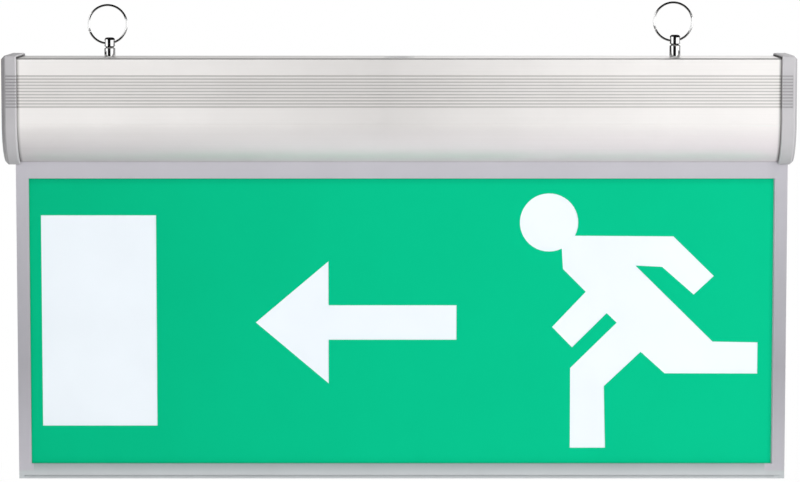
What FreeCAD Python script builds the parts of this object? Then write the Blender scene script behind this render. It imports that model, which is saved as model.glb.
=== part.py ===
"""Hanging emergency exit light: ribbed aluminium housing, end caps, eye bolts with split rings, and an
edge-lit sign panel in a mitred frame.

Units are millimetres. +X runs along the housing, the front face looks towards -Y and +Z is up. The origin
is the centre of the cable entry in the housing's flat top face.
"""
import FreeCAD, Part

import math
import os
import re

import Sketcher

# Driving dimensions: name, value, meaning. Every other size is worked out from these.
SIZES = (
    ("overall_length", 360.0, "outer face to outer face of the end caps"),
    # Housing profile
    ("housing_depth", 34.0, "front face to rear face"),
    ("side_height", 29.5, "straight part of the front and rear faces"),
    ("belly_radius", 19.5, "curve from the sides down to the keel"),
    ("keel_width", 10.0, "flat underside between the two curves"),
    ("side_wall", 1.6, "front, rear and belly wall"),
    ("top_wall", 2.0, "wall that carries the eye bolts"),
    ("profile_round", 0.8, "long edges of the housing's top face"),
    ("rib_first", 7.9, "top face to the first groove"),
    ("rib_pitch", 1.4, "groove to groove"),
    ("rib_count", 11, "grooves on each face"),
    ("rib_width", 0.65, "width of one groove"),
    ("rib_depth", 0.6, "depth of one groove"),
    ("port_radius", 2.6, "outside of a screw port"),
    ("port_sink", 0.4, "overlap of a screw port with its wall"),
    ("port_slit", 1.1, "slit along a screw port"),
    ("low_port_spread", 8.0, "middle of the housing to a lower screw port"),
    ("ledge_depth", 2.0, "reach of the tray ledges"),
    ("ledge_thickness", 1.2, "thickness of a tray ledge"),
    # Keel slot that carries the sign panel
    ("keel_lip", 1.6, "lip that carries the panel's rail"),
    ("keel_mouth", 4.6, "opening between the lips"),
    ("slot_width", 7.0, "chamber above the lips"),
    ("slot_height", 2.6, "chamber above the lips"),
    ("slot_wall", 1.4, "walls beside the chamber"),
    ("floor_wall", 1.8, "floor between the chamber and the gear space"),
    ("lead_slot_place", 60.0, "middle of the housing to the lamp lead's slot"),
    ("lead_slot_length", 8.0, "lamp lead's slot along the housing"),
    ("lead_slot_width", 3.0, "lamp lead's slot across the housing"),
    # End caps
    ("cap_length", 7.0, "visible length of one cap"),
    ("cap_floor", 2.2, "thickness of the cap's end wall"),
    ("cap_proud", 1.3, "step from the housing's face to the cap's face"),
    ("cap_clearance", 0.5, "skirt to housing"),
    ("cap_end_gap", 0.2, "cap floor to the end of the housing"),
    ("cap_end_bevel", 1.6, "bevel at the outer end"),
    ("cap_rim_chamfer", 0.4, "bevel on the inner rim"),
    ("cap_corner_radius", 0.8, "long top corners of the cap"),
    ("cap_rib_length", 5.0, "length of the cap's grooves"),
    ("cap_rib_depth", 0.4, "depth of the cap's grooves"),
    ("spigot_thickness", 1.8, "locating tabs inside the housing"),
    ("spigot_reach", 8.0, "locating tabs beyond the cap floor"),
    ("spigot_clearance", 0.2, "locating tab to the housing wall"),
    ("spigot_top", 9.0, "top face to the upper end of a side tab"),
    ("spigot_height", 12.0, "height of a side tab"),
    ("floor_tab_width", 8.0, "width of the tab on the gear space's floor"),
    ("stop_width", 2.6, "width of a tray stop"),
    ("stop_height", 5.0, "height of a tray stop"),
    ("stop_clearance", 0.3, "tray stop to the tray and to its ledges"),
    ("notch_clearance", 0.3, "cap skirt to the sign panel's frame"),
    # Cap screws
    ("screw_core", 1.2, "radius of the cap screw's shank"),
    ("screw_fit", 0.05, "shank to screw port"),
    ("screw_hole", 1.6, "radius of the hole in the cap"),
    ("screw_head", 2.7, "radius of the countersunk head"),
    ("screw_length", 14.0, "length of the cap screw"),
    ("screw_recess", 0.15, "head below the cap's face"),
    # Eye bolts
    ("left_bolt_inset", 47.8, "left cap's face to the left eye bolt"),
    ("right_bolt_inset", 54.0, "right cap's face to the right eye bolt"),
    ("right_bolt_lift", 1.2, "right eye bolt is screwed in this much less"),
    ("bolt_radius", 2.45, "shank and head of the eye bolt"),
    ("bolt_hole_clearance", 0.1, "shank to the hole in the top wall"),
    ("bolt_waist_height", 4.5, "top face to the waist"),
    ("bolt_waist_radius", 1.65, "waist below the head"),
    ("bolt_head_height", 9.0, "top face to the top of the head"),
    ("bolt_depth", 8.0, "shank below the top face"),
    ("eye_height", 6.6, "top face to the cross hole"),
    ("eye_radius", 1.1, "cross hole"),
    ("eye_mouth_radius", 1.7, "countersunk mouths of the cross hole"),
    ("washer_radius", 4.8, "washer under the top wall"),
    ("washer_thickness", 1.0, "washer under the top wall"),
    ("nut_flats", 8.0, "nut across flats"),
    ("nut_height", 3.2, "nut"),
    # Split rings
    ("ring_outer", 18.4, "outer diameter of a ring"),
    ("ring_wire", 0.95, "wire diameter"),
    ("ring_sag", 0.3, "lowest point of the wire below the eye's centre"),
    ("ring_lean", 0.9, "ring's centre left of its eye bolt"),
    ("ring_gap", 0.3, "gap between the wire's ends"),
    ("ring_gap_angle", 203.0, "place of the gap, from +X"),
    # Cable grommet
    ("cable_radius", 4.0, "hole for the supply cable"),
    ("grommet_radius", 5.4, "grommet where it passes the wall"),
    ("grommet_flange", 7.2, "radius of the flange let into the top face"),
    ("grommet_sink", 0.8, "thickness of the flange"),
    ("grommet_lip", 6.6, "radius of the lip under the wall"),
    ("grommet_length", 5.0, "overall"),
    ("grommet_clearance", 0.1, "grommet to housing"),
    # Gear tray
    ("tray_level", 25.0, "top face to the tray's upper side"),
    ("tray_thickness", 1.2, "tray sheet"),
    ("tray_play", 0.3, "tray's edge to the side wall"),
    ("tray_lift", 0.4, "tray to the upper ledge"),
    ("tray_left_gap", 9.6, "housing's left end to the tray"),
    ("tray_right_gap", 12.6, "housing's right end to the tray"),
    # Battery
    ("battery_radius", 7.3, "three cells in a sleeve"),
    ("battery_length", 148.0, "three cells end to end"),
    ("battery_margin", 2.0, "tray's left end to the battery"),
    ("cell_groove", 0.5, "dip of the sleeve between two cells"),
    ("clip_sheet", 0.6, "spring sheet of the clips"),
    ("clip_width", 9.0, "width of a clip"),
    ("clip_spread", 48.0, "middle of the battery to a clip"),
    ("clip_gap", 0.1, "clip to battery"),
    # Driver board
    ("board_margin", 13.0, "driver board to the tray's right end"),
    ("board_side_gap", 2.9, "driver board's edge to the side wall"),
    ("board_thickness", 1.6, "all circuit boards"),
    ("standoff_height", 4.0, "tray to the driver board"),
    ("standoff_radius", 2.5, "standoff"),
    ("standoff_inset", 4.0, "board's edge to a standoff"),
    ("parts_inset", 6.0, "board's end to the first and the last part on it"),
    ("transformer_size", 16.0, "transformer core, square"),
    ("bobbin_proud", 1.5, "transformer's bobbin beyond its core, at each end"),
    ("transformer_height", 12.0, "transformer"),
    ("capacitor_radius", 4.0, "capacitor can"),
    ("capacitor_height", 11.0, "capacitor can"),
    ("capacitor_pitch", 10.0, "capacitor to capacitor, along the board"),
    ("capacitor_stagger", 4.0, "middle of the board to a capacitor, across it"),
    ("choke_radius", 5.0, "choke"),
    ("choke_height", 6.5, "choke"),
    ("socket_length", 6.0, "plug socket along the board"),
    ("socket_width", 7.4, "plug socket across the board"),
    ("socket_height", 6.8, "plug socket"),
    ("socket_gap", 3.0, "plug socket to plug socket"),
    # Terminal block
    ("terminal_left", 16.0, "left end of the terminal block"),
    ("pole_pitch", 8.0, "pole to pole"),
    ("pole_count", 3, "poles"),
    ("terminal_width", 17.0, "terminal block across the housing"),
    ("terminal_height", 14.0, "terminal block"),
    ("terminal_step", 5.5, "height of the wire shelves"),
    ("terminal_gap", 6.0, "terminal block to the driver board"),
    ("clamp_screw_radius", 1.9, "clamp screw"),
    ("clamp_screw_height", 3.0, "clamp screw"),
    ("clamp_screw_spread", 3.2, "middle of the block to a clamp screw"),
    # Sign panel
    ("panel_inset", 3.5, "end caps' faces to the frame, before the panel's shift"),
    ("panel_height", 146.5, "outside of the frame"),
    ("panel_shift", 1.2, "panel's middle right of the housing's middle"),
    ("panel_thickness", 8.0, "frame, front to rear"),
    ("hang_gap", 0.1, "keel to the frame's top face"),
    ("side_bar_face", 5.8, "visible width of a side bar"),
    ("top_bar_face", 7.7, "visible width of the top bar"),
    ("bottom_bar_face", 7.0, "visible width of the bottom bar"),
    ("bar_flange", 1.2, "wall at the front and rear of a bar"),
    ("bar_wall", 1.0, "outer wall of a bar"),
    ("key_chamber", 1.8, "height of the chamber for the corner keys"),
    ("bar_web", 0.8, "wall between the chamber and the channel"),
    ("rail_neck", 4.0, "rail where it passes the keel lips"),
    ("rail_head", 6.4, "rail inside the keel slot"),
    ("rail_thickness", 1.6, "head of the rail"),
    ("trim_line_place", 1.4, "bottom edge to the trim line on the bottom bar"),
    ("trim_line_width", 0.5, "trim line"),
    ("trim_line_depth", 0.5, "trim line"),
    ("trim_line_inset", 2.4, "frame's end to the trim line's end"),
    ("key_leg", 18.0, "leg of a corner key"),
    ("key_clearance", 0.1, "corner key to its chamber"),
    ("guide_thickness", 3.0, "light guide"),
    ("diffuser_thickness", 1.0, "opal sheet"),
    ("film_thickness", 0.2, "legend film"),
    ("edge_play", 0.4, "sheets to the side webs"),
    ("film_right_gap", 0.35, "film ends this far short of the right bar"),
    ("strip_width", 5.0, "lamp strip"),
    ("strip_thickness", 1.0, "lamp strip"),
    ("strip_end", 6.0, "frame's end to the lamp strip"),
    ("chip_length", 3.0, "lamp chip"),
    ("chip_width", 1.4, "lamp chip"),
    ("chip_height", 0.7, "lamp chip"),
    ("chip_margin", 9.5, "lamp strip's end to the middle of the first chip"),
    ("chip_count", 24, "lamp chips"),
    ("chip_gap", 0.3, "lamp chip to the light guide's edge"),
    # Legend, measured from the middle of the frame. Its sizes hold for the clear area given first,
    # and in another frame the whole legend grows or shrinks evenly to fit.
    ("legend_width", 341.4, "clear area inside the frame"),
    ("legend_height", 131.8, "clear area inside the frame"),
    ("door_left", -165.4, "door panel's left edge"),
    ("door_width", 52.8, "door panel"),
    ("door_height", 97.4, "door panel"),
    ("door_middle", 0.2, "door panel's middle above the legend's middle"),
    ("arrow_tip", -67.1, "arrow's tip"),
    ("arrow_head_length", 33.5, "arrow's head"),
    ("arrow_head_width", 56.6, "arrow's head"),
    ("arrow_shaft_width", 16.0, "arrow's shaft"),
    ("arrow_end", 25.2, "arrow's shaft end"),
    ("arrow_middle", -0.6, "arrow's axis above the legend's middle"),
    ("figure_height", 117.8, "running figure, heel to crown"),
    ("figure_head_radius", 13.4, "running figure's head"),
    # Test button and charge lamp in the right cap
    ("button_rise", 5.0, "test button above the indicator board's middle"),
    ("button_radius", 2.5, "test button"),
    ("button_clearance", 0.1, "button to its bore"),
    ("button_flange", 3.6, "collar behind the cap floor"),
    ("button_collar", 0.8, "thickness of the collar"),
    ("button_stem", 0.6, "stem behind the collar"),
    ("button_travel", 1.0, "stroke"),
    ("button_margin", 0.1, "room beyond the stroke"),
    ("dish_radius", 4.6, "finger dish around the button"),
    ("dish_depth", 0.6, "finger dish around the button"),
    ("lamp_drop", 5.0, "charge lamp below the indicator board's middle"),
    ("lamp_radius", 1.5, "charge lamp's light pipe"),
    ("lamp_collar", 2.2, "charge lamp's collar"),
    ("lamp_fit", 0.05, "light pipe to its hole"),
    ("indicator_side_gap", 8.5, "indicator board's edges to the housing's front and rear faces"),
    ("indicator_top", 11.5, "top face to the indicator board's upper edge"),
    ("indicator_foot", 4.2, "indicator board's lower edge to the lower screw ports"),
    ("indicator_seat", 5.4, "cap floor to the indicator board"),
    ("boss_radius", 2.0, "bosses of the indicator board"),
    ("boss_spread", 5.6, "middle to a boss"),
    ("switch_size", 6.0, "test switch, square"),
    ("switch_plunger", 0.7, "plunger of the test switch"),
    ("small_screw_core", 1.0, "radius of the small screws' shank"),
    ("small_screw_head", 2.0, "radius of the small screws' head"),
)

# Running figure's outline as points from the middle of the legend, clockwise from the head's right side,
# for a figure as tall as FIGURE_DRAWN. The closing side is the round of the head.
FIGURE_DRAWN = 117.8
FIGURE = (
    (79.5, 39.5), (124.6, 39.2), (143.3, 20.9), (134.1, 12.3), (119.5, 25.1), (107.3, 25.7),
    (143.0, -9.4), (163.7, -9.8), (163.7, -24.3), (121.0, -24.2), (109.9, -14.2), (93.1, -30.1),
    (93.8, -58.8), (77.5, -58.8), (77.5, -21.7), (98.8, -0.7), (94.2, 3.7), (78.3, -12.1),
    (69.1, -2.7), (84.5, 13.6), (74.0, 24.1), (73.4, 33.5),
)

# Worked-out sizes that the formulas below may name. A later one may use an earlier one.
WORKED_OUT = (
    ("belly_drop",
     "sqrt(belly_radius ^ 2 - (keel_width / 2 + belly_radius - housing_depth / 2) ^ 2)"),
    ("housing_height", "(side_height + belly_drop)"),
    ("left_bolt_place", "(left_bolt_inset - overall_length / 2)"),
    ("right_bolt_place", "(overall_length / 2 - right_bolt_inset)"),
    ("tray_left", "(tray_left_gap + cap_floor + cap_end_gap - overall_length / 2)"),
    ("tray_right", "(overall_length / 2 - cap_floor - cap_end_gap - tray_right_gap)"),
    ("battery_place", "(tray_left + battery_margin + battery_length / 2)"),
    ("board_left", "(terminal_left + pole_pitch * pole_count + terminal_gap)"),
    ("board_length", "(tray_right - board_margin - board_left)"),
    ("board_width", "(housing_depth - 2 * side_wall - 2 * board_side_gap)"),
    ("transformer_span", "(transformer_size + 2 * bobbin_proud)"),
    ("capacitor_span", "(capacitor_pitch + 2 * capacitor_radius)"),
    ("socket_span", "(2 * socket_length + socket_gap)"),
    ("parts_gap", "((board_length - 2 * parts_inset - transformer_span - capacitor_span"
                  " - 2 * choke_radius - socket_span) / 3)"),
    ("transformer_place", "(board_left + parts_inset + transformer_span / 2)"),
    ("capacitor_place", "(transformer_place + transformer_span / 2 + parts_gap + capacitor_radius)"),
    ("choke_place", "(capacitor_place + capacitor_span - capacitor_radius + parts_gap + choke_radius)"),
    ("socket_place", "(choke_place + choke_radius + parts_gap)"),
    ("panel_width", "(overall_length - 2 * panel_inset)"),
    ("chip_pitch", "((panel_width - 2 * strip_end - 2 * chip_margin) / (chip_count - 1))"),
    ("legend_scale", "min((panel_width - 2 * side_bar_face) / legend_width;"
                     " (panel_height - top_bar_face - bottom_bar_face) / legend_height)"),
    ("indicator_bottom", "(housing_height - keel_lip - slot_height - floor_wall - 2 * port_radius"
                         " + port_sink - indicator_foot)"),
    ("indicator_width", "(housing_depth - 2 * indicator_side_gap)"),
    ("boss_level", "((indicator_top + indicator_bottom) / 2)"),
    ("button_level", "(boss_level - button_rise)"),
    ("lamp_level", "(boss_level + lamp_drop)"),
)

# Worked-out places, as formulas over the sheet's names.
FACE = "(overall_length / 2)"
RIM = "(overall_length / 2 - cap_length)"
CAP_INSIDE = "(overall_length / 2 - cap_floor)"
HOUSING_END = "(overall_length / 2 - cap_floor - cap_end_gap)"
SIDE = "(housing_depth / 2)"
CAVITY_SIDE = "(housing_depth / 2 - side_wall)"
BELLY_MIDDLE = "(housing_depth / 2 - belly_radius)"
CAVITY_FLOOR = "(housing_height - keel_lip - slot_height - floor_wall)"
PORT_HOLE = "(screw_core + screw_fit)"
HIGH_PORT_ACROSS = "(housing_depth / 2 - side_wall - port_radius + port_sink)"
HIGH_PORT_LEVEL = "(top_wall + port_radius - port_sink)"
LOW_PORT_LEVEL = "(housing_height - keel_lip - slot_height - floor_wall - port_radius + port_sink)"
PANEL_TOP = "(housing_height + hang_gap)"
PANEL_BOTTOM = "(housing_height + hang_gap + panel_height)"
WEB_DEPTH = "(bar_wall + key_chamber + bar_web)"
GUIDE_TOP = "(housing_height + hang_gap + bar_wall + key_chamber + bar_web + strip_thickness" \
            " + chip_height + chip_gap)"
GUIDE_BOTTOM = "(housing_height + hang_gap + panel_height - bar_wall - key_chamber - bar_web)"
GUIDE_REACH = "(panel_width / 2 - bar_wall - key_chamber - bar_web - edge_play)"
LEGEND_LEVEL = "(housing_height + hang_gap + (panel_height + top_bar_face - bottom_bar_face) / 2)"
BOARD_TOP = "(tray_level - standoff_height - board_thickness)"
BATTERY_LEVEL = "(tray_level - clip_sheet - clip_gap - battery_radius)"
INDICATOR_FACE = "(overall_length / 2 - cap_floor - indicator_seat)"
BUTTON_BACK = "(overall_length / 2 - cap_floor - button_clearance - button_collar - button_stem)"

PLANES = {"XY": "XY_Plane", "XZ": "XZ_Plane", "YZ": "YZ_Plane"}

doc = FreeCAD.newDocument("exit_light")
sheet = doc.addObject("Spreadsheet::Sheet", "Sizes")
for row, (alias, number, meaning) in enumerate(SIZES, start=1):
    sheet.set("A%d" % row, meaning)
    sheet.set("B%d" % row, str(number))
    sheet.setAlias("B%d" % row, alias)
doc.recompute()

WORDS = re.compile(r"\b(" + "|".join(alias for alias, _, _ in SIZES) + r")\b")
sub_parts = []


def formula(text):
    """The expression with worked-out sizes written out and every size name pointing at the sheet."""
    text = str(text)
    for name, meaning in reversed(WORKED_OUT):
        text = re.sub(r"\b%s\b" % name, meaning, text)
    return WORDS.sub(r"Sizes.\1", text)


def number(text):
    """The value of an expression, in millimetres."""
    return float(sheet.evalExpression(formula(text)))


def bind(item, path, text):
    item.setExpression(path, formula(text))


def new_body(label):
    body = doc.addObject("PartDesign::Body", label)
    body.Label = label
    body.AllowCompound = True
    sub_parts.append(body)
    return body


def place(item, x="0", y="0", z="0"):
    bind(item, ".Placement.Base.x", x)
    bind(item, ".Placement.Base.y", y)
    bind(item, ".Placement.Base.z", z)


def sketch_on(body, plane, name, offset="0", lift="0"):
    """Sketch parallel to an origin plane, offset along its normal and lifted along its upright."""
    sketch = body.newObject("Sketcher::SketchObject", name)
    role = PLANES[plane]
    support = [item for item in body.Origin.OriginFeatures if item.Role == role][0]
    sketch.AttachmentSupport = [(support, "")]
    sketch.MapMode = "FlatFace"
    bind(sketch, ".AttachmentOffset.Base.y", lift)
    bind(sketch, ".AttachmentOffset.Base.z", offset)
    return sketch


def fix_point(sketch, item, end, across, up):
    """Tie one point of the sketch to its two formulas."""
    for kind, text in (("DistanceX", across), ("DistanceY", up)):
        index = sketch.addConstraint(Sketcher.Constraint(kind, -1, 1, item, end, number(text)))
        sketch.setExpression("Constraints[%d]" % index, formula(text))


def fix_radius(sketch, item, radius):
    index = sketch.addConstraint(Sketcher.Constraint("Radius", item, number(radius)))
    sketch.setExpression("Constraints[%d]" % index, formula(radius))


def arc_between(start, end, radius, turn, far):
    """Circular arc from start to end that turns left (1) or right (-1), the long way round if far."""
    chord = end - start
    middle = (start + end) * 0.5
    rise = math.sqrt(max(radius ** 2 - (chord.Length / 2) ** 2, 0.0))
    left = FreeCAD.Vector(-chord.y, chord.x, 0).normalize()
    centre = middle + left * (rise * turn * (-1 if far else 1))
    first, last = (start, end) if turn > 0 else (end, start)
    angles = [math.atan2(point.y - centre.y, point.x - centre.x) for point in (first, last)]
    if angles[1] <= angles[0]:
        angles[1] += 2 * math.pi
    return Part.ArcOfCircle(Part.Circle(centre, FreeCAD.Vector(0, 0, 1), radius), *angles)


def draw_loop(sketch, corners):
    """Closed outline. A corner is (across, up) before a straight side, or
    (across, up, radius, turn, far) before an arc."""
    points = [FreeCAD.Vector(number(corner[0]), number(corner[1]), 0) for corner in corners]
    sides = []
    for index, corner in enumerate(corners):
        start, end = points[index], points[(index + 1) % len(points)]
        if len(corner) == 2:
            item = sketch.addGeometry(Part.LineSegment(start, end), False)
            sides.append((item, 1, 2))
        else:
            radius, turn, far = corner[2:]
            item = sketch.addGeometry(arc_between(start, end, number(radius), turn, far), False)
            sides.append((item, 1, 2) if turn > 0 else (item, 2, 1))
            fix_radius(sketch, item, radius)
    for index, (item, start, end) in enumerate(sides):
        following = sides[(index + 1) % len(sides)]
        sketch.addConstraint(Sketcher.Constraint("Coincident", item, end, following[0], following[1]))
        fix_point(sketch, item, start, corners[index][0], corners[index][1])


def draw_circle(sketch, across, up, radius):
    centre = FreeCAD.Vector(number(across), number(up), 0)
    circle = Part.Circle(centre, FreeCAD.Vector(0, 0, 1), number(radius))
    item = sketch.addGeometry(circle, False)
    fix_radius(sketch, item, radius)
    fix_point(sketch, item, 3, across, up)


def draw(sketch, outlines):
    for outline in outlines:
        if outline[0] == "circle":
            draw_circle(sketch, *outline[1:])
        else:
            draw_loop(sketch, outline)


def box(left, right, bottom, top):
    """Corners of a rectangle."""
    return [(left, bottom), (right, bottom), (right, top), (left, top)]


def mirrored(left, right, bottom, top):
    """A rectangle and its mirror image beyond the upright axis."""
    other = ["-(%s)" % edge for edge in (right, left)]
    return [box(left, right, bottom, top), box(other[0], other[1], bottom, top)]


def extrude(body, kind, name, plane, low, high, outlines):
    """Pad or Pocket of the outlines, from low to high along the axis that the plane faces."""
    sign = "-1 * " if plane == "XZ" else ""
    sketch = sketch_on(body, plane, name + "_sketch", "%s(%s + %s) / 2" % (sign, low, high))
    draw(sketch, outlines)
    feature = body.newObject("PartDesign::" + kind, name)
    feature.Profile = sketch
    feature.SideType = "Symmetric"
    bind(feature, "Length", "(%s) - (%s)" % (high, low))
    sketch.Visibility = False
    body.Tip = feature
    return feature


def revolve(body, kind, name, plane, axis, corners, lift="0"):
    """Revolution or Groove of one outline about the sketch's own H_Axis or V_Axis."""
    sketch = sketch_on(body, plane, name + "_sketch", "0", lift)
    draw(sketch, [corners])
    feature = body.newObject("PartDesign::" + kind, name)
    feature.Profile = sketch
    feature.ReferenceAxis = (sketch, [axis])
    feature.Angle = 360.0
    sketch.Visibility = False
    body.Tip = feature
    return feature


def repeat(body, name, feature, axis, pitch, count, backwards=False):
    """Row of copies of a feature along one of the body's own axes."""
    pattern = body.newObject("PartDesign::LinearPattern", name)
    pattern.Originals = [feature]
    direction = [item for item in body.Origin.OriginFeatures if item.Role == axis][0]
    pattern.Direction = (direction, [""])
    pattern.Mode = "Spacing"
    pattern.Reversed = backwards
    bind(pattern, "Offset", pitch)
    bind(pattern, "Occurrences", count)
    body.Tip = pattern
    return pattern


def dress(body, kind, name, chosen, size_path, size):
    """Fillet or Chamfer of the current tip's edges for which chosen(edge) is true."""
    doc.recompute()
    base = body.Tip
    edges = ["Edge%d" % index for index, edge in enumerate(base.Shape.Edges, start=1) if chosen(edge)]
    feature = body.newObject("PartDesign::" + kind, name)
    feature.Base = (base, edges)
    bind(feature, size_path, size)
    body.Tip = feature
    return feature


def flat_at(edge, axis, level):
    """Whether all of an edge lies at one level along an axis."""
    reach = edge.BoundBox
    low, high = {"x": (reach.XMin, reach.XMax), "z": (reach.ZMin, reach.ZMax)}[axis]
    return abs(low - level) < 0.01 and abs(high - level) < 0.01


def hull_outline(spread, lower, radius):
    """Section of the housing: flat top, upright sides and a curved belly, grown by spread all round."""
    top = spread
    side = "(housing_depth / 2 + %s)" % spread
    foot = "(%s + sqrt((%s) ^ 2 - (%s - side_height) ^ 2))" % (BELLY_MIDDLE, radius, lower)
    return [
        ("-" + side, top), ("-" + side, "-side_height", radius, 1, False),
        ("-" + foot, "-(%s)" % lower), (foot, "-(%s)" % lower, radius, 1, False),
        (side, "-side_height"), (side, top),
    ]


def groups(label, shape, places):
    """Identical fasteners as one node of separate solids: each place is a position and a rotation."""
    copies = []
    for position, turn in places:
        copy = shape.copy()
        copy.Placement = FreeCAD.Placement(FreeCAD.Vector(*position), turn)
        copies.append(copy)
    feature = doc.addObject("Part::Feature", label)
    feature.Label = label
    feature.Shape = Part.makeCompound(copies)
    feature.Placement = FreeCAD.Placement()
    sub_parts.append(feature)
    return feature


# Housing profile
def port_places():
    """Across and level of the four screw ports."""
    places = []
    for side in (1, -1):
        places.append(("%d * %s" % (side, HIGH_PORT_ACROSS), "-" + HIGH_PORT_LEVEL))
        places.append(("%d * low_port_spread" % side, "-" + LOW_PORT_LEVEL))
    return places


def housing_extrusion():
    body = new_body("housing_extrusion")
    ends = ("-" + HOUSING_END, HOUSING_END)
    extrude(body, "Pad", "profile", "YZ", *ends, [hull_outline("0", "housing_height", "belly_radius")])
    side = number(SIDE)

    def long_top_edge(edge):
        reach = edge.BoundBox
        return reach.XLength > 1 and abs(reach.ZMin) < 0.01 and abs(abs(reach.YMin) - side) < 0.01

    dress(body, "Fillet", "profile_rounds", long_top_edge, "Radius", "profile_round")
    inner = "(belly_radius - side_wall)"
    foot = "(%s + sqrt(%s ^ 2 - (%s - side_height) ^ 2))" % (BELLY_MIDDLE, inner, CAVITY_FLOOR)
    gear_space = [
        ("-" + CAVITY_SIDE, "-top_wall"), ("-" + CAVITY_SIDE, "-side_height", inner, 1, False),
        ("-" + foot, "-" + CAVITY_FLOOR), (foot, "-" + CAVITY_FLOOR, inner, 1, False),
        (CAVITY_SIDE, "-side_height"), (CAVITY_SIDE, "-top_wall"),
    ]
    mouth = "(housing_height - keel_lip)"
    chamber = box("-slot_width / 2", "slot_width / 2", "-" + mouth, "-(%s - slot_height)" % mouth)
    opening = box("-keel_mouth / 2", "keel_mouth / 2", "-housing_height - 1", "-%s + 0.1" % mouth)
    extrude(body, "Pocket", "gear_space", "YZ", *ends, [gear_space])
    extrude(body, "Pocket", "keel_chamber", "YZ", *ends, [chamber])
    extrude(body, "Pocket", "keel_opening", "YZ", *ends, [opening])

    # Hollows between the keel slot's walls and the belly keep the wall even.
    wall = "(slot_width / 2 + slot_wall)"
    ceiling = "(housing_height - keel_lip - slot_height)"
    wide = "(%s + sqrt(%s ^ 2 - (%s - side_height) ^ 2))" % (BELLY_MIDDLE, inner, ceiling)
    deep = "(side_height + sqrt(%s ^ 2 - (%s - %s) ^ 2))" % (inner, wall, BELLY_MIDDLE)
    right_hollow = [(wall, "-" + ceiling), (wall, "-" + deep, inner, 1, False), (wide, "-" + ceiling)]
    left_hollow = [("-" + wide, "-" + ceiling, inner, 1, False), ("-" + wall, "-" + deep),
                   ("-" + wall, "-" + ceiling)]
    extrude(body, "Pocket", "keel_hollows", "YZ", *ends, [right_hollow, left_hollow])

    ports = [("circle", across, up, "port_radius") for across, up in port_places()]
    extrude(body, "Pad", "screw_ports", "YZ", *ends, ports)
    bores = [("circle", across, up, PORT_HOLE) for across, up in port_places()]
    extrude(body, "Pocket", "port_bores", "YZ", *ends, bores)
    high_slits = mirrored("%s - port_radius - 0.2" % HIGH_PORT_ACROSS, HIGH_PORT_ACROSS,
                          "-%s - port_slit / 2" % HIGH_PORT_LEVEL, "-%s + port_slit / 2" % HIGH_PORT_LEVEL)
    low_slits = mirrored("low_port_spread - port_slit / 2", "low_port_spread + port_slit / 2",
                         "-" + LOW_PORT_LEVEL, "-%s + port_radius + 0.2" % LOW_PORT_LEVEL)
    extrude(body, "Pocket", "port_slits", "YZ", *ends, high_slits + low_slits)

    # Two ledges on each side hold the gear tray's edges.
    inside = "(%s - ledge_depth)" % CAVITY_SIDE
    outside = "(%s + side_wall / 2)" % CAVITY_SIDE
    under = "(tray_level + tray_thickness)"
    over = "(tray_level - tray_lift)"
    ledges = mirrored(inside, outside, "-%s - ledge_thickness" % under, "-" + under)
    ledges += mirrored(inside, outside, "-" + over, "-%s + ledge_thickness" % over)
    extrude(body, "Pad", "tray_ledges", "YZ", *ends, ledges)

    groove = mirrored("%s - rib_depth" % SIDE, "%s + 1" % SIDE,
                      "-rib_first - rib_width / 2", "-rib_first + rib_width / 2")
    first = extrude(body, "Pocket", "rib_groove", "YZ", *ends, groove)
    repeat(body, "rib_grooves", first, "Z_Axis", "rib_pitch", "rib_count", backwards=True)

    shank_hole = "bolt_radius + bolt_hole_clearance"
    holes = [("circle", "left_bolt_place", "0", shank_hole), ("circle", "right_bolt_place", "0", shank_hole),
             ("circle", "0", "0", "grommet_radius + grommet_clearance")]
    extrude(body, "Pocket", "top_holes", "XY", "-top_wall - 0.5", "1", holes)
    flange_seat = [("circle", "0", "0", "grommet_flange + grommet_clearance")]
    extrude(body, "Pocket", "grommet_seat", "XY", "-grommet_sink", "1", flange_seat)
    slot = box("lead_slot_place - lead_slot_length / 2", "lead_slot_place + lead_slot_length / 2",
               "-lead_slot_width / 2", "lead_slot_width / 2")
    extrude(body, "Pocket", "lead_slot", "XY", "-%s - 0.5" % ceiling, "-%s + 0.5" % CAVITY_FLOOR, [slot])


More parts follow.
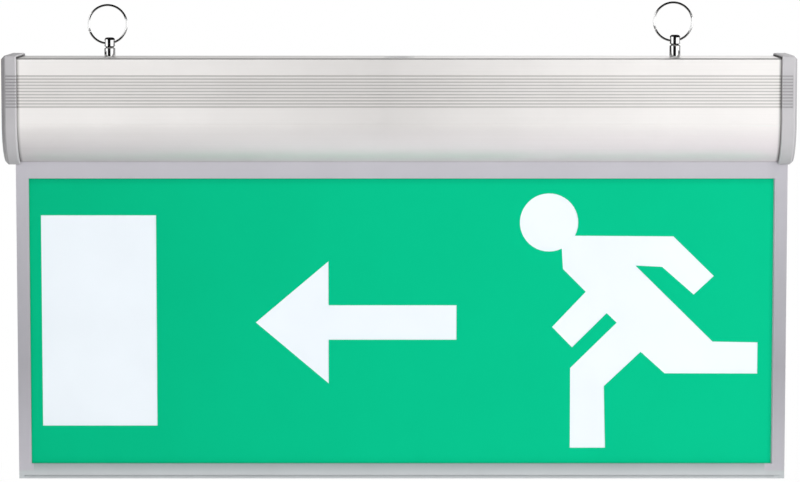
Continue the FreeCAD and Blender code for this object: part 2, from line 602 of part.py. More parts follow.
# End caps, drawn at the right end; the left one is turned half round
def end_cap(label, turned, with_controls):
    body = new_body(label)
    if turned:
        body.Placement = FreeCAD.Placement(FreeCAD.Vector(), FreeCAD.Rotation(FreeCAD.Vector(0, 0, 1), 180))
    lower = "(housing_height + cap_proud)"
    outline = hull_outline("cap_proud", lower, "(belly_radius + cap_proud)")
    extrude(body, "Pad", "outer_form", "YZ", RIM, FACE, [outline])
    side = number("%s + cap_proud" % SIDE)
    top = number("cap_proud")

    def top_corner(edge):
        """The long top corners and the bevel's mitres that run on from them."""
        return edge.BoundBox.XLength > 1 and any(
            abs(end.z - top) < 0.01 and abs(abs(end.y) - side) < 0.01 for end in
            (edge.valueAt(edge.FirstParameter), edge.valueAt(edge.LastParameter)))

    dress(body, "Chamfer", "end_bevel", lambda edge: flat_at(edge, "x", number(FACE)), "Size",
          "cap_end_bevel")
    dress(body, "Fillet", "corner_rounds", top_corner, "Radius", "cap_corner_radius")
    dress(body, "Chamfer", "rim_bevel", lambda edge: flat_at(edge, "x", number(RIM)), "Size",
          "cap_rim_chamfer")
    skirt = hull_outline("cap_clearance", "(housing_height + cap_clearance)",
                         "(belly_radius + cap_clearance)")
    extrude(body, "Pocket", "skirt_inside", "YZ", "%s - 1" % RIM, CAP_INSIDE, [skirt])
    notch = box("-panel_thickness / 2 - notch_clearance", "panel_thickness / 2 + notch_clearance",
                "-%s - 1" % lower, "-housing_height + 0.5")
    extrude(body, "Pocket", "panel_notch", "YZ", "%s - 1" % RIM, CAP_INSIDE, [notch])

    groove = mirrored("%s + cap_proud - cap_rib_depth" % SIDE, "%s + cap_proud + 1" % SIDE,
                      "-rib_first - rib_width / 2", "-rib_first + rib_width / 2")
    first = extrude(body, "Pocket", "rib_groove", "YZ", "%s - 1" % RIM, "%s + cap_rib_length" % RIM, groove)
    repeat(body, "rib_grooves", first, "Z_Axis", "rib_pitch", "rib_count", backwards=True)

    # Locating tabs inside the housing, and the stops that keep the gear tray from sliding.
    wall = "(%s - spigot_clearance)" % CAVITY_SIDE
    floor = "(%s - spigot_clearance)" % CAVITY_FLOOR
    tabs = mirrored("%s - spigot_thickness" % wall, wall, "-spigot_top - spigot_height", "-spigot_top")
    tabs.append(box("-floor_tab_width / 2", "floor_tab_width / 2",
                    "-" + floor, "-%s + spigot_thickness" % floor))
    extrude(body, "Pad", "locating_tabs", "YZ", "%s - spigot_reach" % CAP_INSIDE,
            "%s + cap_floor / 4" % CAP_INSIDE, tabs)
    ledge = "(%s - ledge_depth - stop_clearance)" % CAVITY_SIDE
    tray_end = "-tray_left" if turned else "tray_right"
    stops = mirrored("%s - stop_width" % ledge, ledge, "-tray_level - tray_thickness / 2 - stop_height / 2",
                     "-tray_level - tray_thickness / 2 + stop_height / 2")
    extrude(body, "Pad", "tray_stops", "YZ", "%s + stop_clearance" % tray_end,
            "%s + cap_floor / 4" % CAP_INSIDE, stops)

    if with_controls:
        bosses = [("circle", "%d * boss_spread" % turn, "-boss_level", "boss_radius") for turn in (1, -1)]
        extrude(body, "Pad", "board_bosses", "YZ", INDICATOR_FACE, "%s + cap_floor / 4" % CAP_INSIDE, bosses)
        pilots = [("circle", "%d * boss_spread" % turn, "-boss_level", "small_screw_core + screw_fit")
                  for turn in (1, -1)]
        extrude(body, "Pocket", "boss_pilots", "YZ", "%s - 0.5" % INDICATOR_FACE, CAP_INSIDE, pilots)
        bores = [("circle", "0", "-button_level", "button_radius + button_clearance"),
                 ("circle", "0", "-lamp_level", "lamp_radius + lamp_fit")]
        extrude(body, "Pocket", "control_bores", "YZ", "%s - 0.5" % CAP_INSIDE, "%s + 0.5" % FACE, bores)
        dish = [("circle", "0", "-button_level", "dish_radius")]
        extrude(body, "Pocket", "finger_dish", "YZ", "%s - dish_depth" % FACE, "%s + 0.5" % FACE, dish)

    doc.recompute()
    sketch = sketch_on(body, "YZ", "screw_sketch", FACE)
    draw(sketch, [("circle", across, up, "screw_hole") for across, up in port_places()])
    holes = body.newObject("PartDesign::Hole", "screw_holes")
    holes.Profile = sketch
    doc.recompute()
    holes.DepthType = "ThroughAll"
    holes.ThreadType = "None"
    holes.HoleCutType = "Countersink"
    holes.HoleCutCustomValues = True
    holes.HoleCutCountersinkAngle = 90.0
    bind(holes, "Diameter", "2 * screw_hole")
    bind(holes, "HoleCutDiameter", "2 * (screw_head + screw_recess)")
    body.Tip = holes


def countersunk_screw(head, core, length):
    """Countersunk cross-recess screw pointing along -X, its head's face at the origin."""
    corners = [(0, 0), (0, head), (core - head, core), (core - length, core), (-length, 0)]
    outline = Part.makePolygon([FreeCAD.Vector(x, 0, z) for x, z in corners + corners[:1]])
    solid = Part.Face(outline).revolve(FreeCAD.Vector(), FreeCAD.Vector(1, 0, 0), 360)
    return solid.cut(cross_recess(head * 1.1, head * 0.22, head * 0.4))


def pan_screw(head, core, length, height):
    """Pan head cross-recess screw pointing along -X, the underside of its head at the origin."""
    corners = [(height, 0), (height, head * 0.7), (height * 0.5, head), (0, head), (0, core),
               (-length, core), (-length, 0)]
    outline = Part.makePolygon([FreeCAD.Vector(x, 0, z) for x, z in corners + corners[:1]])
    solid = Part.Face(outline).revolve(FreeCAD.Vector(), FreeCAD.Vector(1, 0, 0), 360)
    recess = cross_recess(head, head * 0.25, height * 0.6)
    recess.translate(FreeCAD.Vector(height, 0, 0))
    return solid.cut(recess)


def cross_recess(span, width, depth):
    """Two crossed slots sunk below the plane x = 0."""
    bars = [Part.makeBox(depth, first, second, FreeCAD.Vector(-depth, -first / 2, -second / 2))
            for first, second in ((span, width), (width, span))]
    return bars[0].fuse(bars[1])


def end_cap_screws():
    screw = countersunk_screw(number("screw_head"), number("screw_core"), number("screw_length"))
    head_face = number("%s - screw_recess" % FACE)
    places = []
    for end, turn in ((1, FreeCAD.Rotation()), (-1, FreeCAD.Rotation(FreeCAD.Vector(0, 0, 1), 180))):
        for across, up in port_places():
            places.append(((end * head_face, number(across), number(up)), turn))
    groups("end_cap_screws", screw, places)


# Eye bolts with their nuts, washers and split rings
def eye_bolt(label, along, lift):
    body = new_body(label)
    place(body, along, "0", lift)
    profile = [
        ("0", "-bolt_depth"), ("bolt_radius - 0.4", "-bolt_depth"), ("bolt_radius", "-bolt_depth + 0.4"),
        ("bolt_radius", "bolt_waist_height - 0.5"), ("bolt_waist_radius", "bolt_waist_height"),
        ("bolt_radius", "bolt_waist_height + 0.6"),
        ("bolt_radius", "bolt_head_height - 1.3", "1.3", 1, False),
        ("bolt_radius - 1.3", "bolt_head_height"), ("0", "bolt_head_height"),
    ]
    revolve(body, "Revolution", "turned_form", "XZ", "V_Axis", profile)
    eye = [("circle", "0", "eye_height", "eye_radius")]
    extrude(body, "Pocket", "eye", "YZ", "-bolt_radius - 1", "bolt_radius + 1", eye)
    for name, side in (("right_mouth", ""), ("left_mouth", "-")):
        inside = side + "(bolt_radius - eye_mouth_radius + eye_radius)"
        outside = side + "(bolt_radius + 0.5)"
        mouth = [(inside, "0"), (inside, "eye_radius"), (outside, "eye_mouth_radius + 0.5"), (outside, "0")]
        revolve(body, "Groove", name, "XZ", "H_Axis", mouth, "eye_height")


def ring(label, along, lift):
    """Wire ring standing upright in its eye, with a small gap between the wire's ends."""
    wire_radius = "(ring_wire / 2)"
    bend = "((ring_outer - ring_wire) / 2)"
    gap_angle = "(ring_gap / (%s) * 180 / pi)" % bend
    torus = doc.addObject("Part::Torus", label)
    torus.Label = label
    bind(torus, "Radius1", bend)
    bind(torus, "Radius2", wire_radius)
    bind(torus, "Angle3", "360 - " + gap_angle)
    start = number("ring_gap_angle + %s / 2" % gap_angle)
    upright = FreeCAD.Rotation(FreeCAD.Vector(1, 0, 0), 90)
    torus.Placement = FreeCAD.Placement(
        FreeCAD.Vector(), upright.multiply(FreeCAD.Rotation(FreeCAD.Vector(0, 0, 1), start)))
    place(torus, "%s - ring_lean" % along, "0", "%s + eye_height - ring_sag + %s" % (lift, bend))
    sub_parts.append(torus)


def hexagon(across, up, flats):
    """Corners of a hexagon about a point."""
    return [("%s + %s / 2 / cos(30) * cos(%d)" % (across, flats, angle),
             "%s + %s / 2 / cos(30) * sin(%d)" % (up, flats, angle)) for angle in range(0, 360, 60)]


def eye_bolt_fixings():
    washers = new_body("eye_bolt_washers")
    rings = []
    nuts = []
    for along in ("left_bolt_place", "right_bolt_place"):
        hole = ("circle", along, "0", "bolt_radius + bolt_hole_clearance")
        rings += [("circle", along, "0", "washer_radius"), hole]
        nuts += [hexagon(along, "0", "nut_flats"), ("circle", along, "0", "bolt_radius + screw_fit")]
    lower = "(top_wall + washer_thickness)"
    extrude(washers, "Pad", "discs", "XY", "-" + lower, "-top_wall", rings)
    body = new_body("eye_bolt_nuts")
    extrude(body, "Pad", "hexagons", "XY", "-%s - nut_height" % lower, "-" + lower, nuts)


def cable_grommet():
    body = new_body("cable_grommet")
    under = "(top_wall + grommet_clearance)"
    profile = [
        ("cable_radius", "-grommet_length"), ("grommet_radius - 0.3", "-grommet_length"),
        ("grommet_lip", "-%s - 0.9" % under), ("grommet_lip", "-" + under), ("grommet_radius", "-" + under),
        ("grommet_radius", "-grommet_sink"), ("grommet_flange", "-grommet_sink"), ("grommet_flange", "0"),
        ("cable_radius", "0"),
    ]
    revolve(body, "Revolution", "moulded_form", "XZ", "V_Axis", profile)


# Gear inside the housing
def gear_tray():
    body = new_body("gear_tray")
    edge = "(%s - tray_play)" % CAVITY_SIDE
    sheet_outline = box("tray_left", "tray_right", "-" + edge, edge)
    slot = box("lead_slot_place - lead_slot_length", "lead_slot_place + lead_slot_length",
               "board_width / 2 - standoff_inset - 3", "board_width / 2 - standoff_inset")
    entry_slot = box("-grommet_flange", "grommet_flange", "-%s + 4" % edge, "-%s + 8" % edge)
    extrude(body, "Pad", "blank", "XY", "-tray_level - tray_thickness", "-tray_level",
            [sheet_outline, slot, entry_slot])


def battery_pack():
    """Three cells in a shrink sleeve that dips a little between them."""
    body = new_body("battery_pack")
    place(body, "battery_place", "0", "-" + BATTERY_LEVEL)
    half = "(battery_length / 2)"
    cell = "(battery_length / 3)"
    corners = [("-%s" % half, "0"), ("-%s" % half, "battery_radius - 1"),
               ("-%s + 1" % half, "battery_radius")]
    for joint in (1, 2):
        seam = "-%s + %d * %s" % (half, joint, cell)
        corners += [("%s - 1.5" % seam, "battery_radius"), (seam, "battery_radius - cell_groove"),
                    ("%s + 1.5" % seam, "battery_radius")]
    corners += [("%s - 1" % half, "battery_radius"), (half, "battery_radius - 1"), (half, "0")]
    revolve(body, "Revolution", "sleeved_cells", "XZ", "H_Axis", corners)


def battery_clips():
    """Open spring clips whose flat feet stand on the tray."""
    body = new_body("battery_clips")
    inner = "(battery_radius + clip_gap)"
    outer = "(battery_radius + clip_gap + clip_sheet)"
    level = "-" + BATTERY_LEVEL
    lip = 35
    arc = [
        ("%s * cos(%d)" % (inner, lip), "%s + %s * sin(%d)" % (level, inner, lip), inner, -1, True),
        ("-%s * cos(%d)" % (inner, lip), "%s + %s * sin(%d)" % (level, inner, lip)),
        ("-%s * cos(%d)" % (outer, lip), "%s + %s * sin(%d)" % (level, outer, lip), outer, 1, True),
        ("%s * cos(%d)" % (outer, lip), "%s + %s * sin(%d)" % (level, outer, lip)),
    ]
    foot = box("-battery_radius", "battery_radius", "-tray_level", "-tray_level + clip_sheet * 0.8")
    for name, outline in (("spring", arc), ("foot", foot)):
        for side, sign in (("left", -1), ("right", 1)):
            middle = "battery_place + %d * clip_spread" % sign
            extrude(body, "Pad", "%s_%s" % (side, name), "YZ", "(%s - clip_width / 2)" % middle,
                    "(%s + clip_width / 2)" % middle, [outline])


def standoff_places():
    """Along and across of the driver board's four standoffs."""
    return [("board_left + standoff_inset + %d * (board_length - 2 * standoff_inset)" % end,
             "%d * (board_width / 2 - standoff_inset)" % side) for end in (0, 1) for side in (-1, 1)]


def driver_board():
    body = new_body("driver_board")
    outline = box("board_left", "board_left + board_length", "-board_width / 2", "board_width / 2")
    holes = [("circle", along, across, "small_screw_core + screw_fit") for along, across in standoff_places()]
    extrude(body, "Pad", "laminate", "XY", "-tray_level + standoff_height", "-" + BOARD_TOP,
            [outline] + holes)

    posts = new_body("board_standoffs")
    outlines = []
    for along, across in standoff_places():
        outlines += [("circle", along, across, "standoff_radius"),
                     ("circle", along, across, "small_screw_core + screw_fit")]
    extrude(posts, "Pad", "posts", "XY", "-tray_level", "-tray_level + standoff_height", outlines)

    screw = pan_screw(number("small_screw_head"), number("small_screw_core"),
                      number("board_thickness + standoff_height - 0.5"), 1.4)
    upright = FreeCAD.Rotation(FreeCAD.Vector(0, 1, 0), -90)
    places = [((number(along), number(across), -number(BOARD_TOP)), upright)
              for along, across in standoff_places()]
    groups("board_screws", screw, places)


def driver_parts():
    """Transformer, capacitors, choke and plug sockets on the driver board."""
    level = "-" + BOARD_TOP
    transformer = new_body("driver_transformer")
    middle = "transformer_place"
    core = box("%s - transformer_size / 2" % middle, "%s + transformer_size / 2" % middle,
               "-transformer_size / 2", "transformer_size / 2")
    extrude(transformer, "Pad", "core", "XY", "%s + 2" % level, "%s + transformer_height" % level, [core])
    bobbin = box("%s - transformer_span / 2" % middle, "%s + transformer_span / 2" % middle,
                 "-transformer_size / 2 + 2", "transformer_size / 2 - 2")
    extrude(transformer, "Pad", "bobbin", "XY", level, "%s + transformer_height - 3" % level, [bobbin])

    cans = new_body("driver_capacitors")
    rounds = [("circle", "capacitor_place + %d * capacitor_pitch" % index,
               "%d * capacitor_stagger" % (1 - 2 * index), "capacitor_radius") for index in (0, 1)]
    extrude(cans, "Pad", "cans", "XY", level, "%s + capacitor_height" % level, rounds)
    grooves = []
    for outline in rounds:
        grooves += [outline[:3] + ("capacitor_radius + 1",), outline[:3] + ("capacitor_radius - 0.3",)]
    extrude(cans, "Pocket", "crimps", "XY", "%s + 1.5" % level, "%s + 2.1" % level, grooves)

    choke = new_body("driver_choke")
    place(choke, "choke_place", "0", level)
    drum = [("0", "0"), ("choke_radius", "0"), ("choke_radius", "1"), ("choke_radius - 1.2", "1"),
            ("choke_radius - 1.2", "choke_height - 1"), ("choke_radius", "choke_height - 1"),
            ("choke_radius", "choke_height"), ("0", "choke_height")]
    revolve(choke, "Revolution", "drum", "XZ", "V_Axis", drum)

    sockets = new_body("driver_plug_sockets")
    walls = []
    for index in (0, 1):
        left = "socket_place + %d * (socket_length + socket_gap)" % index
        walls.append((left, "%s + socket_length" % left))
    outer = [box(left, right, "-socket_width / 2", "socket_width / 2") for left, right in walls]
    inner = [box("%s + 0.8" % left, "%s - 0.8" % right, "-socket_width / 2 + 0.8", "socket_width / 2 - 0.8")
             for left, right in walls]
    extrude(sockets, "Pad", "shells", "XY", level, "%s + socket_height" % level, outer)
    extrude(sockets, "Pocket", "plug_spaces", "XY", "%s + 1.5" % level, "%s + socket_height + 1" % level,
            inner)


def terminal_block():
    """Stepped block: wire shelves at both sides and clamp screws along the raised middle."""
    body = new_body("terminal_block")
    length = "(pole_pitch * pole_count)"
    half = "(terminal_width / 2)"
    level = "-tray_level"
    steps = [("-" + half, level), (half, level), (half, "%s + terminal_step + 4" % level),
             ("%s - 3" % half, "%s + terminal_height" % level),
             ("-%s + 3" % half, "%s + terminal_height" % level),
             ("-" + half, "%s + terminal_step + 4" % level)]
    extrude(body, "Pad", "block", "YZ", "terminal_left", "(terminal_left + %s)" % length, [steps])
    pole = "(terminal_left + pole_pitch / 2)"
    entry = box("%s - 2.2" % pole, "%s + 2.2" % pole, "%s + 2" % level, "%s + terminal_step + 1" % level)
    first = extrude(body, "Pocket", "wire_ways", "XZ", "-%s - 1" % half, "-%s + 5" % half, [entry])
    repeat(body, "wire_way_row", first, "X_Axis", "pole_pitch", "pole_count")
    other = extrude(body, "Pocket", "lead_ways", "XZ", "%s - 5" % half, "%s + 1" % half, [entry])
    repeat(body, "lead_way_row", other, "X_Axis", "pole_pitch", "pole_count")
    wells = [("circle", pole, "%d * clamp_screw_spread" % side, "clamp_screw_radius + 0.1")
             for side in (1, -1)]
    top = "%s + terminal_height" % level
    well_floor = "%s - clamp_screw_height - 1" % top
    down = extrude(body, "Pocket", "screw_wells", "XY", well_floor, "%s + 1" % top, wells)
    repeat(body, "screw_well_row", down, "X_Axis", "pole_pitch", "pole_count")

    radius = number("clamp_screw_radius")
    height = number("clamp_screw_height")
    screw = Part.makeCylinder(radius, height, FreeCAD.Vector(0, 0, 0), FreeCAD.Vector(1, 0, 0))
    slot = Part.makeBox(height / 4, 3 * radius, radius / 3,
                        FreeCAD.Vector(height * 3 / 4, -1.5 * radius, -radius / 6))
    upright = FreeCAD.Rotation(FreeCAD.Vector(0, 1, 0), -90)
    places = []
    for index in range(int(number("pole_count"))):
        for side in (1, -1):
            along = number("%s + %d * pole_pitch" % (pole, index))
            across = side * number("clamp_screw_spread")
            places.append(((along, across, number(well_floor)), upright))
    groups("terminal_screws", screw.cut(slot), places)


# Sign panel
def frame_bar(label, length, face, near_face, far_face, angle, along, level, extras=None):
    """One mitred bar, drawn as the top bar: its outer face at z = 0 and its channel open downwards.
    near_face and far_face are the faces of the bars it meets at -X and +X."""
    body = new_body(label)
    body.Placement = FreeCAD.Placement(FreeCAD.Vector(), FreeCAD.Rotation(FreeCAD.Vector(0, 1, 0), angle))
    place(body, along, "0", level)
    half = "(%s / 2)" % length
    thick = "(panel_thickness / 2)"
    inner = "(panel_thickness / 2 - bar_flange)"
    extrude(body, "Pad", "profile", "YZ", "-" + half, half,
            [box("-" + thick, thick, "-" + face, "0"),
             box("-" + inner, inner, "-bar_wall - key_chamber", "-bar_wall")])
    extrude(body, "Pocket", "channel", "YZ", "-" + half, half,
            [box("-" + inner, inner, "-%s - 1" % face, "-" + WEB_DEPTH)])
    # The web is cut back at both ends, where a corner key turns into the next bar.
    key_room = "(bar_wall + key_chamber)"
    extrude(body, "Pocket", "key_rooms", "XZ", "-" + inner, inner,
            mirrored("%s - %s" % (half, key_room), half, "-%s - 0.1" % WEB_DEPTH, "-bar_wall"))
    if extras:
        extras(body, half)
    below = "-%s - 1" % face
    left = "-%s + %s" % (half, near_face)
    right = "%s - %s" % (half, far_face)
    left_mitre = [("-" + half, "0"), (left, "-" + face), (left, below), ("-%s - 1" % half, below),
                  ("-%s - 1" % half, "0")]
    right_mitre = [(half, "0"), ("%s + 1" % half, "0"), ("%s + 1" % half, below), (right, below),
                   (right, "-" + face)]
    extrude(body, "Pocket", "mitres", "XZ", "-%s - 1" % thick, "%s + 1" % thick, [left_mitre, right_mitre])


def hanging_rail(body, half):
    """T-shaped rail on the top bar that slides in the keel slot, with the slot for the lamp lead."""
    neck = "(keel_lip + hang_gap)"
    extrude(body, "Pad", "rail_neck", "YZ", "-" + half, half,
            [box("-rail_neck / 2", "rail_neck / 2", "-0.3", neck)])
    extrude(body, "Pad", "rail_head", "YZ", "-" + half, half,
            [box("-rail_head / 2", "rail_head / 2", neck, "%s + rail_thickness" % neck)])
    place_along = "(lead_slot_place - panel_shift)"
    slot = box("%s - lead_slot_length / 2" % place_along, "%s + lead_slot_length / 2" % place_along,
               "-lead_slot_width / 2", "lead_slot_width / 2")
    extrude(body, "Pocket", "lead_slot", "XY", "-%s - 0.5" % WEB_DEPTH, "%s + rail_thickness + 0.5" % neck,
            [slot])


def trim_lines(body, half):
    """Fine line along the front and rear of the bottom bar."""
    groove = mirrored("panel_thickness / 2 - trim_line_depth", "panel_thickness / 2 + 1",
                      "-trim_line_place - trim_line_width / 2", "-trim_line_place + trim_line_width / 2")
    extrude(body, "Pocket", "trim_lines", "YZ", "-%s + trim_line_inset" % half,
            "%s - trim_line_inset" % half, groove)


def panel_frame():
    left = "panel_shift - panel_width / 2"
    right = "panel_shift + panel_width / 2"
    middle = "-(%s + %s) / 2" % (PANEL_TOP, PANEL_BOTTOM)
    frame_bar("frame_bar_top", "panel_width", "top_bar_face", "side_bar_face", "side_bar_face", 0,
              "panel_shift", "-" + PANEL_TOP, hanging_rail)
    frame_bar("frame_bar_bottom", "panel_width", "bottom_bar_face", "side_bar_face", "side_bar_face", 180,
              "panel_shift", "-" + PANEL_BOTTOM, trim_lines)
    frame_bar("frame_bar_left", "panel_height", "side_bar_face", "bottom_bar_face", "top_bar_face", -90,
              left, middle)
    frame_bar("frame_bar_right", "panel_height", "side_bar_face", "top_bar_face", "bottom_bar_face", 90,
              right, middle)


def corner_keys():
    """Four L-shaped keys inside the bars' chambers."""
    body = new_body("corner_keys")
    outer = "(bar_wall + key_clearance)"
    inner = "(bar_wall + key_chamber - key_clearance)"
    keys = []
    for side in (1, -1):
        for level, sign in ((PANEL_TOP, 1), (PANEL_BOTTOM, -1)):
            edge = "panel_shift + %d * panel_width / 2" % side

            def along(inset):
                return "%s - %d * (%s)" % (edge, side, inset)

            def up(inset):
                return "-%s - %d * (%s)" % (level, sign, inset)

            keys.append([(along(outer), up(outer)), (along(key_end), up(outer)), (along(key_end), up(inner)),
                         (along(inner), up(inner)), (along(inner), up(key_end)), (along(outer), up(key_end))])
    half = "(panel_thickness / 2 - bar_flange - key_clearance)"
    extrude(body, "Pad", "keys", "XZ", "-" + half, half, keys)


key_end = "(bar_wall + key_leg)"


def sheet_outline(right_end):
    """Outline of the sheets that the frame holds."""
    return box("panel_shift - " + GUIDE_REACH, right_end, "-" + GUIDE_BOTTOM, "-" + GUIDE_TOP)


def legend_outlines():
    """Clear places of the legend: door, arrow and running figure."""
    middle = "-" + LEGEND_LEVEL

    def at(along, up):
        return "panel_shift + legend_scale * (%s)" % along, "%s + legend_scale * (%s)" % (middle, up)

    door = [at("door_left + %d * door_width" % right, "door_middle + %g * door_height" % up)
            for right, up in ((0, -0.5), (1, -0.5), (1, 0.5), (0, 0.5))]
    back = "arrow_tip + arrow_head_length"
    arrow = [at("arrow_tip", "arrow_middle"), at(back, "arrow_middle - arrow_head_width / 2"),
             at(back, "arrow_middle - arrow_shaft_width / 2"),
             at("arrow_end", "arrow_middle - arrow_shaft_width / 2"),
             at("arrow_end", "arrow_middle + arrow_shaft_width / 2"),
             at(back, "arrow_middle + arrow_shaft_width / 2"),
             at(back, "arrow_middle + arrow_head_width / 2")]
    grown = "figure_height / %g" % FIGURE_DRAWN
    figure = [at("%g * %s" % (along, grown), "%g * %s" % (up, grown)) for along, up in FIGURE]
    figure[-1] = figure[-1] + ("legend_scale * figure_head_radius", -1, True)
    return [door, arrow, figure]


def panel_sheets():
    """Light guide in the middle, then an opal sheet and a legend film on each side."""
    full = "panel_shift + " + GUIDE_REACH
    film_end = "panel_shift + panel_width / 2 - side_bar_face - film_right_gap"
    guide = new_body("light_guide")
    extrude(guide, "Pad", "blank", "XZ", "-guide_thickness / 2", "guide_thickness / 2", [sheet_outline(full)])
    for side, sign in (("front", -1), ("rear", 1)):
        inner = "guide_thickness / 2"
        outer = "(%s + diffuser_thickness)" % inner
        skin = "(%s + film_thickness)" % outer
        ends = [(inner, outer), (outer, skin)]
        if sign < 0:
            ends = [("-%s" % high, "-%s" % low) for low, high in ends]
        diffuser = new_body("diffuser_" + side)
        extrude(diffuser, "Pad", "blank", "XZ", *ends[0], [sheet_outline(full)])
        film = new_body("legend_film_" + side)
        extrude(film, "Pad", "printed_area", "XZ", *ends[1], [sheet_outline(film_end)] + legend_outlines())


def lamp_strip():
    top = "(%s + %s)" % (PANEL_TOP, WEB_DEPTH)
    half = "(panel_width / 2 - strip_end)"
    board = new_body("led_strip_board")
    extrude(board, "Pad", "laminate", "XY", "-%s - strip_thickness" % top, "-" + top,
            [box("panel_shift - " + half, "panel_shift + " + half, "-strip_width / 2", "strip_width / 2")])
    chips = new_body("led_chips")
    first = "(panel_shift - (chip_count - 1) * chip_pitch / 2)"
    chip = extrude(chips, "Pad", "chip", "XY", "-%s - strip_thickness - chip_height" % top,
                   "-%s - strip_thickness" % top,
                   [box("%s - chip_length / 2" % first, "%s + chip_length / 2" % first,
                        "-chip_width / 2", "chip_width / 2")])
    repeat(chips, "chip_row", chip, "X_Axis", "chip_pitch", "chip_count")


# Test button and charge lamp in the right cap
def controls():
    button = new_body("test_button")
    front = "(%s - 0.1)" % FACE
    collar_front = "(%s - button_clearance)" % CAP_INSIDE
    collar_back = "(%s - button_collar)" % collar_front
    profile = [
        (BUTTON_BACK, "0"), (BUTTON_BACK, "button_radius / 2"), (collar_back, "button_radius / 2"),
        (collar_back, "button_flange"), (collar_front, "button_flange"), (collar_front, "button_radius"),
        ("%s - 0.4" % front, "button_radius"), (front, "button_radius - 0.4"), (front, "0"),
    ]
    revolve(button, "Revolution", "turned_form", "XZ", "H_Axis", profile, "-button_level")

    pipe = new_body("charge_indicator")
    lamp_back = "(%s + 1.2)" % INDICATOR_FACE
    profile = [
        (lamp_back, "0"), (lamp_back, "lamp_radius"), ("%s - 0.9" % CAP_INSIDE, "lamp_radius"),
        ("%s - 0.9" % CAP_INSIDE, "lamp_collar"), (CAP_INSIDE, "lamp_collar"), (CAP_INSIDE, "lamp_radius"),
        ("%s - 0.5" % FACE, "lamp_radius"), ("%s - 0.2" % FACE, "lamp_radius - 0.6"),
        ("%s - 0.1" % FACE, "0"),
    ]
    revolve(pipe, "Revolution", "turned_form", "XZ", "H_Axis", profile, "-lamp_level")

    board = new_body("indicator_board")
    outline = box("-indicator_width / 2", "indicator_width / 2", "-indicator_bottom", "-indicator_top")
    holes = [("circle", "%d * boss_spread" % turn, "-boss_level", "small_screw_core + screw_fit")
             for turn in (1, -1)]
    extrude(board, "Pad", "laminate", "YZ", "(%s - board_thickness)" % INDICATOR_FACE, INDICATOR_FACE,
            [outline] + holes)

    screw = pan_screw(number("small_screw_head"), number("small_screw_core"),
                      number("board_thickness + indicator_seat - 0.8"), 1.4)
    inward = FreeCAD.Rotation(FreeCAD.Vector(0, 0, 1), 180)
    back = number("%s - board_thickness" % INDICATOR_FACE)
    groups("indicator_board_screws", screw,
           [((back, turn * number("boss_spread"), -number("boss_level")), inward) for turn in (1, -1)])

    switch = new_body("test_switch")
    tip = "(%s - button_travel - button_margin)" % BUTTON_BACK
    half = "(switch_size / 2)"
    extrude(switch, "Pad", "case", "YZ", INDICATOR_FACE, "(%s - switch_plunger)" % tip,
            [box("-" + half, half, "-button_level - " + half, "-button_level + " + half)])
    extrude(switch, "Pad", "plunger", "YZ", INDICATOR_FACE, tip, [("circle", "0", "-button_level", "1.7")])

    lamp = new_body("indicator_led")
    extrude(lamp, "Pad", "chip", "YZ", INDICATOR_FACE, "(%s + 0.8)" % INDICATOR_FACE,
            [box("-1", "1", "-lamp_level - 0.65", "-lamp_level + 0.65")])


housing_extrusion()
end_cap("end_cap_left", True, False)
end_cap("end_cap_right", False, True)
end_cap_screws()
eye_bolt("eye_bolt_left", "left_bolt_place", "0")
eye_bolt("eye_bolt_right", "right_bolt_place", "right_bolt_lift")
ring("ring_left", "left_bolt_place", "0")
ring("ring_right", "right_bolt_place", "right_bolt_lift")
eye_bolt_fixings()
cable_grommet()
gear_tray()
battery_pack()
battery_clips()
driver_board()
driver_parts()
terminal_block()
panel_frame()
corner_keys()
panel_sheets()
lamp_strip()
controls()
doc.recompute()

for item in doc.Objects:
    if "Invalid" in item.State or "Error" in item.State:
        raise RuntimeError("%s failed: %s" % (item.Label, item.State))
os.makedirs("parts", exist_ok=True)
for part in sub_parts:
    shape = part.Shape
    if shape.isNull() or not shape.isValid() or not shape.Solids:
        raise RuntimeError("%s has no valid solid" % part.Label)
for part in sub_parts:
    part.Shape.exportStep("parts/%s.step" % part.Label)
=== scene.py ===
"""Looks of a hanging emergency exit light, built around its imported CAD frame.

Every length is in metres, in the frame's own axes: +X along the housing, the front looks towards -Y, +Z up.
"""

import math
from collections import namedtuple

import bpy
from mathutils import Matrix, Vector

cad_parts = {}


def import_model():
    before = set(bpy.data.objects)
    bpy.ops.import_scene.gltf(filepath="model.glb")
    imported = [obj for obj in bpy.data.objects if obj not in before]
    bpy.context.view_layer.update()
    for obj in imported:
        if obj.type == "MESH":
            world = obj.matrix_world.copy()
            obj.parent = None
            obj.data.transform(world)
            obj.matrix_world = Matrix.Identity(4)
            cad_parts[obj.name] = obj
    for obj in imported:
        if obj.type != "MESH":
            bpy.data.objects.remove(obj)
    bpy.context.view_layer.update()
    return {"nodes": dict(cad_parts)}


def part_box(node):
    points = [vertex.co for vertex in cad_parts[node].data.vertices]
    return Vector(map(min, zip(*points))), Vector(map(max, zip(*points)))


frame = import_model()

# Camera: a long lens a little above the sign, looking slightly down at it
AIM = Vector((0.000384, 0.0, -0.08442))
PITCH = math.radians(5.45)
DISTANCE = 1.5
SENSOR = 36.0
LENS = 146.9

# Floor, with the share of plain white that the camera sees in it at two distances from the middle
FLOOR_LEVEL = -0.42
FLOOR_SIZE = 60.0
FLOOR_GREY = 0.86
FLOOR_FADE = (0.45, 1.5)
FLOOR_WHITE = (0.86, 1.0)
# Lamps: place, size and radiance
KEYS = {
    "key": ((0.6, -1.3, 0.12), (0.6, 0.8), 3.55),
    "side_key": ((1.15, -0.9, 0.3), (0.5, 0.7), 3.8),
    "rear_key": ((-1.0, 1.0, 0.05), (0.6, 0.8), 5.5),
}
# Azimuths are degrees to the right of straight in front, elevations degrees above level
TURN = 360.0
